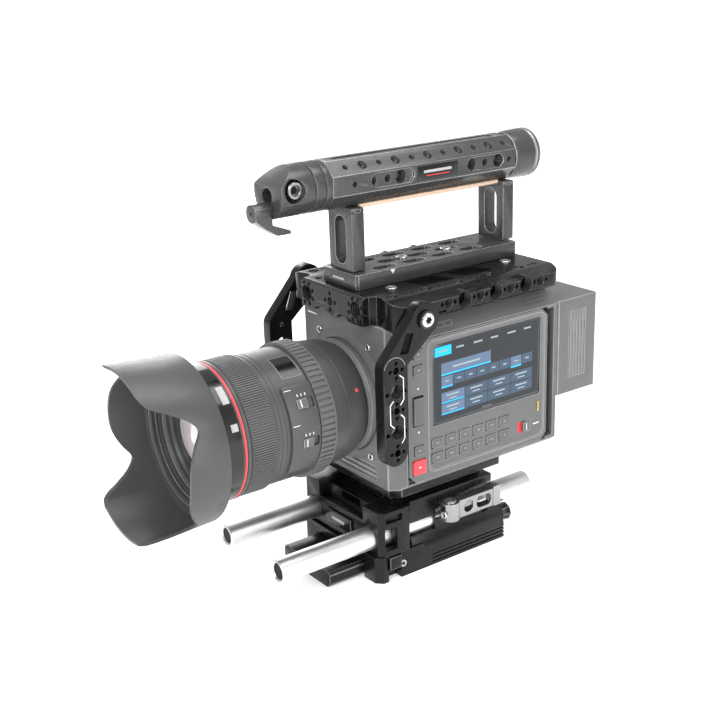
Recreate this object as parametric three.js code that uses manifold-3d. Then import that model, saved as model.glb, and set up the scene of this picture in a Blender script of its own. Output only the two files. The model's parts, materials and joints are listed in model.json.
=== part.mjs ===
// Cinema camera rig: a box camera with its zoom lens, in a drilled cage with a top handle, on a
// baseplate with two 15 mm rods. Millimetres, +Z up, the lens looks along -Y, and the monitor is on +X.
// The origin is on the underside of the baseplate, in its middle.
import * as THREE from "three";
import { mergeVertices } from "three/addons/utils/BufferGeometryUtils.js";
import Module from "manifold-3d";

const wasm = await Module();
wasm.setup();

// ---- driving dimensions ----
const GAP = 0.3; // clearance between touching pieces

const BASE = { half: 42, front: -52, shoulder: -15, rear: 53, top: 17.7, dovetailHalf: 26, dovetailTop: 11 };
const RAIL = { inner: 37.9, outer: 38.9, front: -23.6, top: 22.6, kneeZ: 9.5, earTop: 29.4 };
const DOVETAIL = { front: -78, rear: 53 };
const ROD = { radius: 7.5, bore: 5.3, x: 30, z: 28, front: -118, length: 200 };
const BLOCK = { half: 43, inset: 39, front: -50, step: -28, rear: 44, bottom: 18, top: 48 };
const PLATE = { half: 39, front: -36, rear: 57, bottom: 52.5, top: 61.7 };
const LEVER = { x: 44.6, y: 4, bottom: 30, top: 42, eye: 6.2, tip: 43.5 };
const STUD = { z: 38.3, radius: 1.7 };
const LATCH = { back: 36, inner: 39.4, outer: 44, front: -44, rear: -35, bottom: 8.6, top: 17 };

const BODY = { half: 50, front: -43, rear: 91, bottom: 62, top: 166, shoulder: 157.3, wall: 3 };
const NOSE = { half: 42, rear: -33 };
const PANEL = { inner: 47.3, outer: 50.5, front: -32.5, rear: 82, bottom: 66, top: 156.5 };
const SCREEN = { front: -13, rear: 76, bottom: 99.7, top: 151 };
const KEY = { first: -10.2, pitch: 11.1, across: 8.6, tall: 6.2, rows: [88, 78.4], columns: 6 };
const COLUMN_Y = -25;
const KEY_INNER = 48.4;
const KEY_PROUD = 51.3;
const BATTERY = { inner: 12, outer: 50, front: 91.4, rear: 127.5, bottom: 93.3, top: 158 };

const AXIS_Z = 114.5; // height of the lens axis
const MOUNT = { front: -50, radius: 36, throat: 27 };
const LENS = { flange: -50.3, focusRear: -77.4, focusFront: -89.2, zoomRear: -117.7, zoomFront: -135.6 };
const FRONT = { rear: -136, red: -139.5, rim: -158, radius: 41.5, sleeve: 35.6, sleeveRear: -97 };
const HOOD = { rear: -153.4, tip: -196.5, rearRadius: 49.9, tipRadius: 52, wall: 1.8, turn: 11 };

const CAGE = { half: 56, flat: 46, front: -51, tongue: 32, shoulder: -36, rear: 88, bottom: 166.5, top: 184 };
const BRACKET = { inner: 56.3, outer: 64, y: -52.5, half: 8.5, bottom: 89, top: 157, holes: [135.3, 110.3] };
const BRACKET_BOSS = { y: -29.3, z: 174.3, radius: 10, boltRadius: 5.6 };

const HANDLE_BASE = { half: 18, front: -44, rear: 85, bottom: 184.3, top: 193.5 };
const POST = { half: 12, thickness: 9, front: -42, rear: 78, bottom: 193.8, top: 232.4 };
const TUBE = { z: 247, radius: 15, front: -56, rear: 87, flats: 14.2 };
const NOSE_SOCKET = { front: -91, cutZ: 251.5, bevelEnd: -78 };

// ---- shape helpers ----
function solidOf(geometry) {
  const bare = new THREE.BufferGeometry();
  bare.setAttribute("position", geometry.getAttribute("position").clone());
  if (geometry.index) bare.setIndex(geometry.index.clone());
  const merged = mergeVertices(bare, 1e-4);
  const corners = [...merged.index.array];
  const triangles = [];
  for (let i = 0; i < corners.length; i += 3) {
    const [a, b, c] = corners.slice(i, i + 3);
    if (a !== b && b !== c && c !== a) triangles.push(a, b, c);
  }
  const mesh = new wasm.Mesh({
    numProp: 3,
    vertProperties: new Float32Array(merged.attributes.position.array),
    triVerts: new Uint32Array(triangles),
  });
  return new wasm.Manifold(mesh);
}

function geometryOf(solid) {
  const mesh = solid.getMesh();
  const geometry = new THREE.BufferGeometry();
  geometry.setAttribute("position", new THREE.BufferAttribute(mesh.vertProperties.slice(), 3));
  geometry.setIndex(new THREE.BufferAttribute(mesh.triVerts.slice(), 1));
  geometry.computeVertexNormals();
  return geometry;
}

const join = (...geometries) => geometryOf(geometries.map(solidOf).reduce((a, b) => a.add(b)));

function cut(geometry, ...tools) {
  return geometryOf(tools.map(solidOf).reduce((a, b) => a.subtract(b), solidOf(geometry)));
}

function box(x0, x1, y0, y1, z0, z1) {
  const geometry = new THREE.BoxGeometry(x1 - x0, y1 - y0, z1 - z0);
  return geometry.translate((x0 + x1) / 2, (y0 + y1) / 2, (z0 + z1) / 2);
}

// The pair of x limits of a feature on the given side (-1 or 1).
function sided(side, near, far) {
  return side > 0 ? [near, far] : [-far, -near];
}

const CYCLE = new THREE.Matrix4().makeBasis(
  new THREE.Vector3(0, 1, 0),
  new THREE.Vector3(0, 0, 1),
  new THREE.Vector3(1, 0, 0),
);

// An outline is a list of [a, b] corners or a THREE.Shape.
function extrude(outline, depth, segments = 6) {
  const shape = outline instanceof THREE.Shape
    ? outline
    : new THREE.Shape(outline.map(([a, b]) => new THREE.Vector2(a, b)));
  return new THREE.ExtrudeGeometry(shape, { depth, bevelEnabled: false, curveSegments: segments });
}

// The outline holds [y, z] for prismX, [x, z] for prismY and [x, y] for prismZ.
const prismX = (outline, x0, x1, segments) =>
  extrude(outline, x1 - x0, segments).applyMatrix4(CYCLE).translate(x0, 0, 0);
const prismY = (outline, y0, y1, segments) =>
  extrude(outline, y1 - y0, segments).rotateX(Math.PI / 2).translate(0, y1, 0);
const prismZ = (outline, z0, z1, segments) => extrude(outline, z1 - z0, segments).translate(0, 0, z0);

function rodX(radius, x0, x1, y, z, sides = 20) {
  const geometry = new THREE.CylinderGeometry(radius, radius, x1 - x0, sides);
  return geometry.rotateZ(Math.PI / 2).translate((x0 + x1) / 2, y, z);
}

function rodY(radius, x, y0, y1, z, sides = 24) {
  return new THREE.CylinderGeometry(radius, radius, y1 - y0, sides).translate(x, (y0 + y1) / 2, z);
}

function rodZ(radius, x, y, z0, z1, sides = 20) {
  const geometry = new THREE.CylinderGeometry(radius, radius, z1 - z0, sides);
  return geometry.rotateX(Math.PI / 2).translate(x, y, (z0 + z1) / 2);
}

// A ring or solid of revolution about a Y axis; the profile is a closed loop of [radius, y] corners.
function turned(profile, x, z, sides = 44) {
  const points = profile.map(([r, y]) => new THREE.Vector2(r, y));
  if (THREE.ShapeUtils.area(points) < 0) points.reverse();
  const onAxis = points.filter((p) => p.x === 0).length === 2;
  if (onAxis) {
    while (!(points[0].x === 0 && points[points.length - 1].x === 0)) points.push(points.shift());
  } else {
    points.push(points[0].clone());
  }
  return new THREE.LatheGeometry(points, sides).translate(x, 0, z);
}

// A rectangle with cut corners, as a list of corners.
function chamfered(a0, a1, b0, b1, c) {
  return [
    [a0 + c, b0],
    [a1 - c, b0],
    [a1, b0 + c],
    [a1, b1 - c],
    [a1 - c, b1],
    [a0 + c, b1],
    [a0, b1 - c],
    [a0, b0 + c],
  ];
}

// A rectangle with round corners of radius r.
function rounded(a0, a1, b0, b1, r) {
  const shape = new THREE.Shape();
  shape.absarc(a1 - r, b0 + r, r, -Math.PI / 2, 0);
  shape.absarc(a1 - r, b1 - r, r, 0, Math.PI / 2);
  shape.absarc(a0 + r, b1 - r, r, Math.PI / 2, Math.PI);
  shape.absarc(a0 + r, b0 + r, r, Math.PI, 1.5 * Math.PI);
  return shape;
}

const mirrored = (corners) => [...corners, ...corners.map(([a, b]) => [-a, b]).reverse()];

// ---- materials ----
const finish = (color, roughness, metalness) => () =>
  new THREE.MeshStandardMaterial({ color, roughness, metalness });
const anodised = finish(0x17181a, 0.45, 0.6);
const handleGrey = finish(0x5a5b5e, 0.42, 0.5);
const bareSteel = finish(0xd9dadc, 0.22, 1);
const bodyGrey = finish(0x7a7b7e, 0.55, 0.1);
const lensGrey = finish(0x4e4f52, 0.5, 0.2);
const ribRubber = finish(0x5d5e60, 0.85, 0);
const keyGrey = finish(0x747578, 0.6, 0);
const screenGlass = finish(0x34383c, 0.12, 0);
const opticGlass = finish(0xcdbfc4, 0.05, 0.1);
const recordRed = finish(0xe8474a, 0.4, 0);
const paleWood = finish(0xe6cdb2, 0.6, 0);

const rig = new THREE.Group();

function add(name, material, geometry) {
  const mesh = new THREE.Mesh(geometryOf(solidOf(geometry)), material());
  mesh.name = name;
  rig.add(mesh);
}

// ---- baseplate ----
function dovetailPlate() {
  const half = BASE.dovetailHalf;
  const section = mirrored([
    [half - 3, 0],
    [half, 3],
    [half, BASE.dovetailTop - 2],
    [half - 2, BASE.dovetailTop],
  ]);
  const groove = box(-7, 7, DOVETAIL.front - 1, DOVETAIL.rear + 1, BASE.dovetailTop - 4, 20);
  return cut(prismY(section.reverse(), DOVETAIL.front, DOVETAIL.rear), groove);
}
add("dovetail_plate", anodised, dovetailPlate());

function baseBody() {
  const { half, front, shoulder, rear, top } = BASE;
  const { inner, outer, kneeZ } = RAIL;
  const flank = half - ((half - outer) * (top - kneeZ)) / (RAIL.top - kneeZ);
  const frontSection = mirrored([
    [half, 0],
    [half, top],
  ]);
  const rearSection = mirrored([
    [half, 0],
    [half, kneeZ],
    [flank, top],
  ]);
  const frontBlock = prismY(frontSection.reverse(), front, shoulder);
  const rearBlock = prismY(rearSection.reverse(), shoulder - 1, rear);
  const rails = [-1, 1].map((side) => {
    const section = [
      [side * inner, top - 1],
      [side * (flank + 0.2), top - 1],
      [side * outer, RAIL.top],
      [side * inner, RAIL.top],
    ];
    return prismY(side > 0 ? section.reverse() : section, RAIL.front, rear);
  });
  const channel = box(-BASE.dovetailHalf - GAP, BASE.dovetailHalf + GAP, front - 1, rear + 1, -1, 11.3);
  const ribGrooves = [2.4, 4.9, 7.4].flatMap((z) =>
    [-1, 1].map((side) => box(...sided(side, half - 1, half + 1), -9, rear + 1, z - 0.5, z + 0.5)),
  );
  const notches = [-1, 1].map((side) => box(...sided(side, 36, half + 1), -44, -34, -1, 7));
  const noseCuts = [-1, 1].map((side) => prismZ(noseCorner(side), -1, top + 1));
  const latchPocket = box(
    LATCH.back, half + 1,
    LATCH.front - 0.5, LATCH.rear + 0.5,
    LATCH.bottom - 0.6, top + 1,
  );
  const body = join(frontBlock, rearBlock, ...rails, leverCatch());
  return cut(body, channel, ...ribGrooves, ...notches, ...noseCuts, latchPocket);
}

// The ear that the closed lever's tip comes down over, on the monitor side's rail.
function leverCatch() {
  const { inner, top, earTop } = RAIL;
  const ear = new THREE.Shape();
  ear.moveTo(36, top - 1);
  ear.quadraticCurveTo(42.5, top, 43, earTop - 1);
  ear.lineTo(43.6, earTop);
  ear.lineTo(46, earTop);
  ear.quadraticCurveTo(46.5, top, 50, top - 1);
  return prismX(ear, inner, inner + 1.6, 5);
}

// The cut corner at the front of the base body.
function noseCorner(side) {
  const corner = [
    [BASE.half + 1, BASE.front - 1],
    [BASE.half + 1, BASE.front + 5],
    [BASE.half - 5, BASE.front - 1],
  ];
  return side > 0 ? corner : corner.map(([x, y]) => [-x, y]).reverse();
}
add("base_body", anodised, baseBody());

function rodClampBlock() {
  const { half, inset, front, step, rear, bottom, top } = BLOCK;
  const outline = mirrored([
    [half - 4, front],
    [half, front + 4],
    [half, step],
    [inset, step + 4],
    [inset, rear],
  ]);
  const body = prismZ(outline, bottom, top);
  const bores = [-1, 1].map((side) =>
    rodY(ROD.radius + GAP, side * ROD.x, front - 1, rear + 1, ROD.z, 24),
  );
  const rodSlots = [-1, 1].map((side) => box(...sided(side, 32, half + 1), -46.5, -37.5, 22, 37));
  const channels = [-1, 1].map((side) => box(...sided(side, 32, half + 1), -27, -4, 23, 33));
  const pockets = [-1, 1].map((side) => box(...sided(side, half - 3, half + 1), -46, -33.5, 40.5, 45.3));
  const frontStep = box(-24, 24, front - 1, front + 7, 38, top + 1);
  const window = box(-8, 12, front - 1, front + 20, 40, 45.5);
  const topChannel = box(-22, 22, front - 1, rear + 1, 46, top + 1);
  const leverSeat = box(35, half + 1, LEVER.y - 7.6, rear + 1, LEVER.bottom - 0.5, LEVER.top + 0.5);
  const railSeats = [-1, 1].map((side) =>
    box(...sided(side, RAIL.inner - GAP, half + 1), step + 4, rear + 1, bottom - 1, RAIL.top + GAP),
  );
  const earSeat = box(RAIL.inner - GAP, half + 1, 35, rear + 1, bottom, LEVER.bottom);
  const studHole = rodX(STUD.radius + GAP, 26, half + 1, LEVER.y, STUD.z, 16);
  return cut(
    body,
    ...rodSlots, ...channels, ...pockets, ...railSeats, ...bores,
    frontStep, window, topChannel, leverSeat, earSeat, studHole,
  );
}
add("rod_clamp_block", anodised, rodClampBlock());

add("name_plate", anodised, prismY(chamfered(-15, 13, 24.2, 33.6, 1), BLOCK.front - 1.8, BLOCK.front - GAP));

function rod() {
  const tube = new THREE.CylinderGeometry(ROD.radius, ROD.radius, ROD.length, 32);
  const bores = [0.5, -0.5].map((end) =>
    new THREE.CylinderGeometry(ROD.bore, ROD.bore, 30, 20).translate(0, end * ROD.length, 0),
  );
  return cut(tube, ...bores);
}
[-1, 1].forEach((side) => {
  const placed = rod().translate(side * ROD.x, ROD.front + ROD.length / 2, ROD.z);
  add(side > 0 ? "rod_monitor_side" : "rod_door_side", bareSteel, placed);
});

function rodLever() {
  const { x, y, bottom, top, eye, tip } = LEVER;
  const arm = box(x - 3.5, x + 3.5, y + 2, tip, bottom, top);
  const tab = box(x - 3.5, x + 4.2, tip - 6, tip, bottom, top + 1.5);
  const hollow = box(x - 5, x + 2, y + eye + 1, tip - 6, bottom + 1.6, top - 1.6);
  const windows = [
    [y + 9, y + 16.5],
    [y + 19.5, y + 32],
  ].map(([y0, y1]) => prismX(chamfered(y0, y1, bottom + 2, top - 2, 2), x, x + 5));
  const pinHole = rodZ(2.2, x, y, bottom - 1, top + 1, 16);
  const studPath = box(x - 8, x + 2.2, y - 8, y + 2.2, STUD.z - 2, STUD.z + 2);
  return cut(join(rodZ(eye, x, y, bottom, top, 28), arm, tab), hollow, ...windows, pinHole, studPath);
}
add("rod_lever", handleGrey, rodLever());

// The lever's upright pin and the stud that draws the block together.
const clampStud = join(
  rodZ(1.9, LEVER.x, LEVER.y, LEVER.bottom, LEVER.top + 0.8, 12),
  rodX(STUD.radius, 26.5, LEVER.x, LEVER.y, STUD.z, 12),
);
add("rod_lever_stud", bareSteel, clampStud);

const KNOB = { x: 34.5, z: 14.2, radius: 6.4, front: 54.6, rear: 61 };

function dovetailKnob() {
  const { x, z, radius, front, rear } = KNOB;
  const grip = new THREE.CylinderGeometry(radius, radius - 1, rear - front, 8);
  grip.translate(x, (front + rear) / 2, z);
  return join(grip, rodY(3, x, BASE.rear + GAP, front + 1, z, 12));
}
add("dovetail_knob", anodised, dovetailKnob());

function safetyLatch() {
  const { inner, outer, front, rear, bottom, top } = LATCH;
  return box(inner, outer, front, rear, bottom, top);
}
add("safety_latch", anodised, safetyLatch());

function cameraPlate() {
  const { half, front, rear, bottom, top } = PLATE;
  const flange = prismZ(chamfered(-half, half, front, rear, 6), bottom, top);
  const carriage = box(-30, 30, front + 4, rear - 14, BLOCK.top + GAP, bottom);
  const tongue = box(-21.5, 21.5, front + 4, rear - 14, 46.4, BLOCK.top + GAP);
  return join(flange, carriage, tongue);
}
add("camera_plate", anodised, cameraPlate());

// ---- camera ----
const bodySection = mirrored([
  [46, BODY.bottom],
  [BODY.half, BODY.bottom + 3],
  [BODY.half, BODY.shoulder],
  [42, BODY.top],
]);

function cameraBody() {
  const { rear, wall } = BODY;
  const shell = prismY([...bodySection].reverse(), NOSE.rear + GAP, rear);
  const hollow = box(-BODY.half + wall, 60, NOSE.rear - 1, rear - wall, BODY.bottom + 5, BODY.shoulder - 2);
  const panelSeat = box(PANEL.inner - GAP, 60, -40, PANEL.rear + GAP, PANEL.bottom - GAP, PANEL.top + GAP);
  return cut(shell, hollow, panelSeat);
}
add("camera_body", bodyGrey, cameraBody());

function frontHousing() {
  const { half } = BODY;
  const plan = mirrored([
    [NOSE.half, BODY.front],
    [half, BODY.front + 10],
  ]);
  const block = prismZ(plan, BODY.bottom, BODY.top);
  const envelope = prismY([...bodySection].reverse(), BODY.front - 1, NOSE.rear + 1);
  const trimmed = geometryOf(solidOf(block).intersect(solidOf(envelope)));
  const throat = rodY(MOUNT.throat, 0, BODY.front - 1, NOSE.rear + 1, AXIS_Z, 36);
  const seat = rodY(MOUNT.radius + GAP, 0, BODY.front - 1, BODY.front + 3, AXIS_Z, 44);
  const vents = [66, 69.5, 73].map((z) => box(-30, 30, BODY.front - 1, BODY.front + 1.6, z - 0.8, z + 0.8));
  return cut(trimmed, throat, seat, ...vents);
}
add("front_housing", bodyGrey, frontHousing());

const mountProfile = [
  [MOUNT.throat, BODY.front + 2.7],
  [MOUNT.throat, MOUNT.front],
  [MOUNT.radius - 1.5, MOUNT.front],
  [MOUNT.radius, MOUNT.front + 1.5],
  [MOUNT.radius, BODY.front + 2.7],
];
add("lens_mount_ring", bodyGrey, turned(mountProfile, 0, AXIS_Z));

const keyRows = KEY.rows.flatMap((z, row) =>
  Array.from({ length: KEY.columns }, (_, i) => ({
    name: `key_row${row + 1}_${i + 1}`,
    y: KEY.first + KEY.pitch * i,
    z,
    across: KEY.across,
    tall: KEY.tall,
  })),
);
const columnKeys = [
  { name: "display_button", y: COLUMN_Y, z: 148.8, across: 7, tall: 6 },
  { name: "peaking_button", y: COLUMN_Y, z: 138.8, across: 7, tall: 6 },
  { name: "still_button", y: COLUMN_Y, z: 87, across: 7, tall: 6 },
  { name: "record_button", y: COLUMN_Y, z: 76, across: 10, tall: 9.4 },
];
const ROCKER = { z: 112.5, radius: 9.5, width: 8 };
const LOCK = { y: 62.6, z: 79.4, across: 8, tall: 7 };

function sidePanel() {
  const { inner, outer, front, rear, bottom, top } = PANEL;
  const slab = prismX(chamfered(front, rear, bottom, top, 5), inner, outer);
  const keyHole = ({ y, z, across, tall }) =>
    box(inner - 1, outer + 1, y - across / 2 - GAP, y + across / 2 + GAP, z - tall / 2 - GAP, z + tall / 2 + GAP);
  const screenHole = box(
    inner - 1, outer + 1,
    SCREEN.front - GAP, SCREEN.rear + GAP,
    SCREEN.bottom - GAP, SCREEN.top + GAP,
  );
  const rockerHole = box(
    inner - 1, outer + 1,
    COLUMN_Y - ROCKER.width / 2 - GAP, COLUMN_Y + ROCKER.width / 2 + GAP,
    ROCKER.z - ROCKER.radius - GAP, ROCKER.z + ROCKER.radius + GAP,
  );
  const lockSeat = box(outer - 1.2, outer + 1, LOCK.y - 5.5, LOCK.y + 5.5, LOCK.z - 4, LOCK.z + 4);
  const bezel = prismX(chamfered(-16, 78.5, 71, 153.5, 3), outer - 0.6, outer + 1);
  const holes = [...keyRows, ...columnKeys].map(keyHole);
  return cut(slab, ...holes, screenHole, rockerHole, lockSeat, bezel);
}
add("monitor_panel", bodyGrey, sidePanel());

add(
  "monitor_screen",
  screenGlass,
  box(47.5, 49.4, SCREEN.front, SCREEN.rear, SCREEN.bottom, SCREEN.top),
);

[...keyRows, ...columnKeys].forEach(({ name, y, z, across, tall }) => {
  const outline = chamfered(y - across / 2, y + across / 2, z - tall / 2, z + tall / 2, 1);
  const proud = keyRows.some((key) => key.name === name) ? KEY_PROUD - 0.8 : KEY_PROUD;
  add(name, name === "record_button" ? recordRed : keyGrey, prismX(outline, KEY_INNER, proud));
});

add(
  "iris_rocker",
  keyGrey,
  box(
    KEY_INNER, KEY_PROUD + 0.7,
    COLUMN_Y - ROCKER.width / 2, COLUMN_Y + ROCKER.width / 2,
    ROCKER.z - ROCKER.radius + 1, ROCKER.z + ROCKER.radius - 1,
  ),
);

add("lock_slider", keyGrey, box(49.6, 51.4, LOCK.y - 1.8, LOCK.y + 1.8, LOCK.z - 3.2, LOCK.z + 3.2));

add("image_sensor", anodised, box(-24, 24, -30, -16, AXIS_Z - 20, AXIS_Z + 20));

function battery() {
  const { inner, outer, front, rear, bottom, top } = BATTERY;
  const block = prismZ(chamfered(inner, outer, front, rear, 1.2), bottom, top);
  const vents = Array.from({ length: 6 }, (_, i) =>
    box(outer - 1, outer + 1, 102.2 + 2.7 * i, 103.4 + 2.7 * i, 104, 149),
  );
  return cut(block, ...vents);
}
add("battery", bodyGrey, battery());
add("battery_latch", keyGrey, box(34, 46, BATTERY.rear + GAP, 131, 121, 137.5));

// ---- lens ----
const CORE = 38; // radius of the barrel under its two rings
const MIDDLE = 39.8; // radius of the barrel between them
const TUNNEL = FRONT.sleeve + GAP; // radius of the bore that the front barrel slides in

// The slide switches lie on a raised pad of the barrel, each at its angle above the horizontal.
const PAD = { radius: 41.6, front: -109, rear: -89.5, low: -36, high: 42 };
const SWITCHES = [
  { name: "focus_mode_switch", y: -97, angle: 25.5 },
  { name: "stabiliser_switch", y: -96.4, angle: -7 },
];

// Turns a shape made at the lens's +X side up to an angle, given in degrees, and lifts it to the lens axis.
const onBarrel = (geometry, angle) =>
  geometry.rotateY(-THREE.MathUtils.degToRad(angle)).translate(0, 0, AXIS_Z);

function switchPad() {
  const { radius, front, rear, low, high } = PAD;
  const sector = new THREE.Shape();
  const [start, end] = [low, high].map(THREE.MathUtils.degToRad);
  sector.absarc(0, 0, radius, start, end);
  sector.absarc(0, 0, CORE, end, start, true);
  return prismY(sector, front, rear, 14).translate(0, 0, AXIS_Z);
}

const switchSeat = ({ y, angle }) =>
  onBarrel(box(PAD.radius - 1.5, PAD.radius + 2, y - 5.9, y + 5.9, -3.3, 3.3), angle);

function lensBarrel() {
  const outer = [
    [33, LENS.flange],
    [35.5, -53],
    [37.5, -57],
    [40, LENS.focusRear + 1],
    [40, LENS.focusRear],
    [CORE, LENS.focusRear],
    [CORE, LENS.focusFront],
    [MIDDLE, LENS.focusFront],
    [MIDDLE, LENS.zoomRear],
    [CORE, LENS.zoomRear],
    [CORE, LENS.zoomFront],
  ];
  const inner = [
    [TUNNEL, LENS.zoomFront],
    [TUNNEL, -92],
    [24, -92],
    [24, -46],
    [26.5, -46],
    [26.5, LENS.flange],
  ];
  const tube = turned([...outer, ...inner], 0, AXIS_Z);
  return cut(join(tube, switchPad()), ...SWITCHES.map(switchSeat));
}
add("lens_barrel", lensGrey, lensBarrel());

const FOCUS_RADIUS = 42;
const ZOOM_RADIUS = 41.2;
const ringProfile = (radius, rear, front) => [
  [CORE + GAP, rear - GAP],
  [radius - 0.8, rear - GAP],
  [radius, rear - GAP - 0.8],
  [radius, front + GAP + 0.8],
  [radius - 0.8, front + GAP],
  [CORE + GAP, front + GAP],
];
add("focus_ring", ribRubber, turned(ringProfile(FOCUS_RADIUS, LENS.focusRear, LENS.focusFront), 0, AXIS_Z));
add("zoom_ring", ribRubber, turned(ringProfile(ZOOM_RADIUS, LENS.zoomRear, LENS.zoomFront), 0, AXIS_Z));

function frontBarrel() {
  const { rear, rim, radius, sleeve, sleeveRear } = FRONT;
  return turned(
    [
      [sleeve, sleeveRear],
      [sleeve, rear],
      [radius, rear],
      [radius, rim],
      [38.5, rim],
      [38.5, rim + 5],
      [36, rim + 6],
      [33, rim + 12],
      [33, sleeveRear],
    ],
    0,
    AXIS_Z,
  );
}
add("front_barrel", lensGrey, frontBarrel());

const domeProfile = [
  [0, -139],
  [32.7, -139],
  [32.7, -145],
  [25, -148.4],
  [13, -150.8],
  [0, -151.5],
];
add("front_element", opticGlass, turned(domeProfile, 0, AXIS_Z, 36));

// Two long petals and two short ones, turned a little on the lens by HOOD.turn degrees.
function hood() {
  const { rear, tip, rearRadius, tipRadius, wall, turn } = HOOD;
  const shell = turned(
    [
      [FRONT.radius + GAP, rear],
      [rearRadius - 1.2, rear],
      [rearRadius, rear - 1.2],
      [tipRadius, tip],
      [tipRadius - wall, tip],
      [rearRadius - wall, rear - 3],
      [FRONT.radius + GAP, rear - 3],
    ],
    0,
    0,
    52,
  );
  const edge = [
    [tip + 0.4, 47],
    [tip + 2, 44.7],
    [tip + 6, 42.6],
    [tip + 12.2, 40.4],
    [tip + 23, 35],
    [tip + 26.8, 30.3],
    [tip + 22, 23.2],
    [tip + 18, 14],
    [tip + 16.8, 0],
  ];
  const mirror = edge.slice(0, -1).map(([y, z]) => [y, -z]).reverse();
  const curve = new THREE.CatmullRomCurve3(
    [...edge, ...mirror].map(([y, z]) => new THREE.Vector3(y, z, 0)),
    false,
    "centripetal",
  );
  const smooth = curve.getPoints(44).map((p) => [p.x, p.y]);
  const outline = [[tip + 0.2, 70], ...smooth, [tip + 0.2, -70], [tip - 20, -70], [tip - 20, 70]];
  const petals = cut(shell, prismX(outline, -70, 70));
  return petals.rotateY(THREE.MathUtils.degToRad(turn)).translate(0, 0, AXIS_Z);
}
add("lens_hood", lensGrey, hood());

SWITCHES.forEach(({ name, y, angle }) => {
  const slider = box(PAD.radius - 1.2, PAD.radius + 0.6, y - 5.5, y + 1.5, -2.8, 2.8);
  add(name, keyGrey, onBarrel(slider, angle));
});

// ---- cage ----
function cageTopPlate() {
  const { half, flat, front, tongue, shoulder, rear, bottom, top } = CAGE;
  const side = new THREE.Shape();
  side.moveTo(-tongue, front);
  side.lineTo(tongue, front);
  side.lineTo(tongue, front + 5);
  side.bezierCurveTo(tongue + 3, front + 15, tongue + 12, front + 5, half - 8, shoulder - 8);
  side.quadraticCurveTo(half, shoulder - 6, half, shoulder + 6);
  side.lineTo(half, rear - 8);
  side.absarc(half - 8, rear - 8, 8, 0, Math.PI / 2);
  side.lineTo(-half + 8, rear);
  side.absarc(-half + 8, rear - 8, 8, Math.PI / 2, Math.PI);
  side.lineTo(-half, shoulder + 6);
  side.quadraticCurveTo(-half, shoulder - 6, -half + 8, shoulder - 8);
  side.bezierCurveTo(-tongue - 12, front + 5, -tongue - 3, front + 15, -tongue, front + 5);
  const plate = prismZ(side, bottom, top, 5);
  const section = mirrored([
    [half, bottom],
    [half, top - 3.6],
    [flat, top],
  ]).reverse();
  const envelope = prismY(section, front - 1, rear + 1);
  const trimmed = geometryOf(solidOf(plate).intersect(solidOf(envelope)));
  const frontBevel = prismX(
    [
      [front - 1, top - 2.4],
      [front + 4, top + 1],
      [front - 1, top + 1],
    ],
    -60,
    60,
  );
  const underCut = box(-50, 50, front + 12, rear - 8, bottom - 1, bottom + 7);
  const skirt = [
    [43, bottom],
    [half + 1, bottom + 6.4],
    [half + 1, bottom - 1],
    [43, bottom - 1],
  ];
  const skirtCuts = [-1, 1].map((s) => {
    const outline = s > 0 ? skirt : skirt.map(([x, z]) => [-x, z]).reverse();
    return prismY(outline, -17, rear + 1);
  });
  const sideHoles = [7.4, 32.2, 57].flatMap((y) =>
    [-1, 1].map((s) => rodX(4.6, ...sided(s, 48, half + 1), y, 177.3, 20)),
  );
  const frontHoles = [-26, 25].map((x) => rodY(4.6, x, front - 1, front + 10, 175.5, 20));
  const scallops = [-13, 11].map((x) =>
    prismY(
      [
        [x - 7, bottom - 1],
        [x + 7, bottom - 1],
        [x + 3, bottom + 3],
        [x - 3, bottom + 3],
      ],
      front - 1,
      front + 9,
    ),
  );
  return cut(trimmed, frontBevel, underCut, ...skirtCuts, ...sideHoles, ...frontHoles, ...scallops);
}
add("cage_top_plate", anodised, cageTopPlate());

function cageBracket(side) {
  const { inner, outer, y, half, bottom, top } = BRACKET;
  const { y: bossY, z: bossZ, radius } = BRACKET_BOSS;
  const [x0, x1] = sided(side, inner, outer);
  const upright = prismX(rounded(y - half, y + half, bottom, top, half - 0.1), x0, x1);
  const arm = prismX(
    [
      [y - half, top - 14],
      [y + half, top - 8],
      [bossY + 8, bossZ - 6],
      [bossY - 4, bossZ + 9],
      [y - half + 1, top - 4],
    ],
    x0,
    x1,
  );
  const boss = rodX(radius, x0, x1, bossY, bossZ, 28);
  const slot = prismX(
    [
      [y + 4, top],
      [y + 10, top - 0.5],
      [bossY - 9, bossZ - 6.5],
      [bossY - 14.5, bossZ - 5.5],
    ],
    x0 - 1,
    x1 + 1,
  );
  const bigHoles = BRACKET.holes.map((z) => rodX(4.4, x0 - 1, x1 + 1, y + 1.2, z, 16));
  return cut(join(upright, arm, boss), slot, ...bigHoles);
}
[-1, 1].forEach((side) => {
  add(side > 0 ? "cage_bracket_monitor_side" : "cage_bracket_door_side", anodised, cageBracket(side));
});

function boltHead(side) {
  const { y, z, boltRadius } = BRACKET_BOSS;
  return rodX(boltRadius, ...sided(side, BRACKET.outer + GAP, BRACKET.outer + 3), y, z, 24);
}
[-1, 1].forEach((side) => {
  add(side > 0 ? "bracket_bolt_monitor_side" : "bracket_bolt_door_side", bareSteel, boltHead(side));
});

// ---- top handle ----
function handleBase() {
  const { half, front, rear, bottom, top } = HANDLE_BASE;
  const slab = prismZ(chamfered(-half, half, front, rear, 1.5), bottom, top);
  const pockets = [-1, 0, 1].flatMap((row) =>
    Array.from({ length: row ? 4 : 3 }, (_, i) => {
      const start = POST.front + 15 + i * 23 + (row ? 0 : 11.5);
      const outline = chamfered(row * 10.6 - 3.6, row * 10.6 + 3.6, start, start + 18, 3.4);
      return prismZ(outline, top - 3, top + 1);
    }),
  );
  return cut(slab, ...pockets);
}
add("handle_base", handleGrey, handleBase());

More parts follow.
